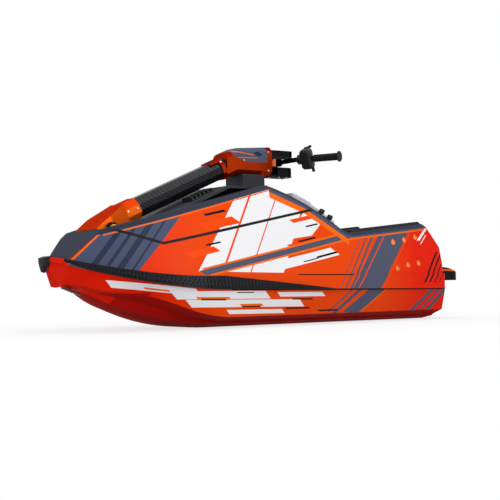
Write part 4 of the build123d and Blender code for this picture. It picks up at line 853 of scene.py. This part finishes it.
# Studio: a pale floor that runs into a white backdrop, soft lamps, and the camera of a product shot.
# The floor is white to the lens and greyer to the lamps' bounce, so that it keeps the shadow
# and doesn't wash the underside with light.
FLOOR_HALF = 30.0
FLOOR_Z = -0.001
FLOOR_WHITE = (0.95, 0.95, 0.95, 1)
FLOOR_BOUNCE = (0.4, 0.4, 0.4, 1)
PURE_WHITE = (1, 1, 1, 1)


def seen_ray(spot):
    """1 for a ray from the lens, straight, mirrored or through glass."""
    straight, mirrored, through = [spot.node("ShaderNodeLightPath", out=f"Is {kind} Ray")
                                   for kind in ("Camera", "Glossy", "Transmission")]
    return straight | mirrored | through


floor_mesh = bpy.data.meshes.new("floor")
floor_corners = [(x * FLOOR_HALF, y * FLOOR_HALF, FLOOR_Z)
                 for x, y in ((-1, -1), (1, -1), (1, 1), (-1, 1))]
floor_mesh.from_pydata(floor_corners, [], [(0, 1, 2, 3)])
floor = bpy.data.objects.new("floor", floor_mesh)
bpy.context.collection.objects.link(floor)
pale_floor, floor_shader, floor_spot = new_finish("pale_floor", Roughness=0.9, Specular_IOR_Level=0.0)
floor_shader.inputs["Base Color"].default_value = FLOOR_WHITE
bounce = floor_spot.node("ShaderNodeBsdfDiffuse", inputs={"Color": FLOOR_BOUNCE})
glow = floor_spot.node("ShaderNodeEmission", inputs={"Color": PURE_WHITE, "Strength": 1.0})
away = floor_spot.node("ShaderNodeVectorMath", {"operation": "LENGTH"}, {0: floor_spot}, "Value")
backdrop_share = away.ramp(start=1.0, end=2.4, low=0.72, high=1.0)
matt = Shade(floor_shader.outputs[0])
shown = floor_spot.node("ShaderNodeMixShader", inputs={0: backdrop_share, 1: matt, 2: glow})
floor_look = floor_spot.node("ShaderNodeMixShader", inputs={0: seen_ray(floor_spot), 1: bounce, 2: shown})
floor_look.feed(pale_floor.node_tree.nodes["Material Output"], "Surface")
floor_mesh.materials.append(pale_floor)

world = bpy.data.worlds.new("studio")
bpy.context.scene.world = world
world.use_nodes = True
backdrop = world.node_tree.nodes["Background"]
backdrop.inputs["Color"].default_value = PURE_WHITE
sky = Shade(backdrop.outputs[0])
height = axes(sky.node("ShaderNodeTexCoord", out="Generated"))[2]
room_light = height.ramp(start=0.0, end=0.8, low=0.7, high=0.4)
white = seen_ray(sky)
(room_light * (1 - white) + white).feed(backdrop, "Strength")


def softbox(name, place, aim, size, power, mirrored):
    """A square studio lamp, which shiny pieces mirror or don't."""
    lamp = bpy.data.lights.new(name, "AREA")
    lamp.size = size
    lamp.energy = power
    holder = bpy.data.objects.new(name, lamp)
    holder.location = place
    holder.rotation_euler = (Vector(aim) - Vector(place)).to_track_quat("-Z", "Y").to_euler()
    holder.visible_glossy = mirrored
    bpy.context.collection.objects.link(holder)


MIDSHIPS = (0, 0, 0.3)
softbox("key_lamp", (1.0, 4.3, 2.6), MIDSHIPS, size=2.5, power=78.0, mirrored=True)
softbox("low_lamp", (-0.6, 4.2, 0.5), (-0.2, 0, 0.2), size=1.6, power=30.0, mirrored=True)
softbox("top_lamp", (-0.8, 0.4, 3.6), MIDSHIPS, size=2.5, power=45.0, mirrored=True)
softbox("bow_lamp", (3.8, 2.2, 0.5), (0.9, 0, 0.2), size=1.2, power=36.0, mirrored=False)
softbox("fill_lamp", (1.2, -4.0, 2.4), MIDSHIPS, size=2.5, power=80.0, mirrored=False)

CAMERA_PLACE = Vector((2.8994, 4.0996, 0.1883))
CAMERA_YAW = math.radians(35.0)
CAMERA_PITCH = math.radians(1.8)
CAMERA_ROLL = math.radians(-1.0)
LENS_TO_FRAME = 2.15
SENSOR = 36.0
lens = bpy.data.cameras.new("camera")
lens.sensor_width = SENSOR
lens.lens = LENS_TO_FRAME * SENSOR
camera = bpy.data.objects.new("camera", lens)
bpy.context.collection.objects.link(camera)
heading = Vector((-math.sin(CAMERA_YAW), -math.cos(CAMERA_YAW), 0))
ahead = heading * math.cos(CAMERA_PITCH) + Vector((0, 0, math.sin(CAMERA_PITCH)))
level = ahead.cross(Vector((0, 0, 1))).normalized()
upright = level.cross(ahead)
right = level * math.cos(CAMERA_ROLL) + upright * math.sin(CAMERA_ROLL)
above = upright * math.cos(CAMERA_ROLL) - level * math.sin(CAMERA_ROLL)
turn = Matrix((right, above, -ahead)).transposed().to_4x4()
camera.matrix_world = Matrix.Translation(CAMERA_PLACE) @ turn
bpy.context.scene.camera = camera
bpy.context.scene.view_settings.view_transform = "Standard"
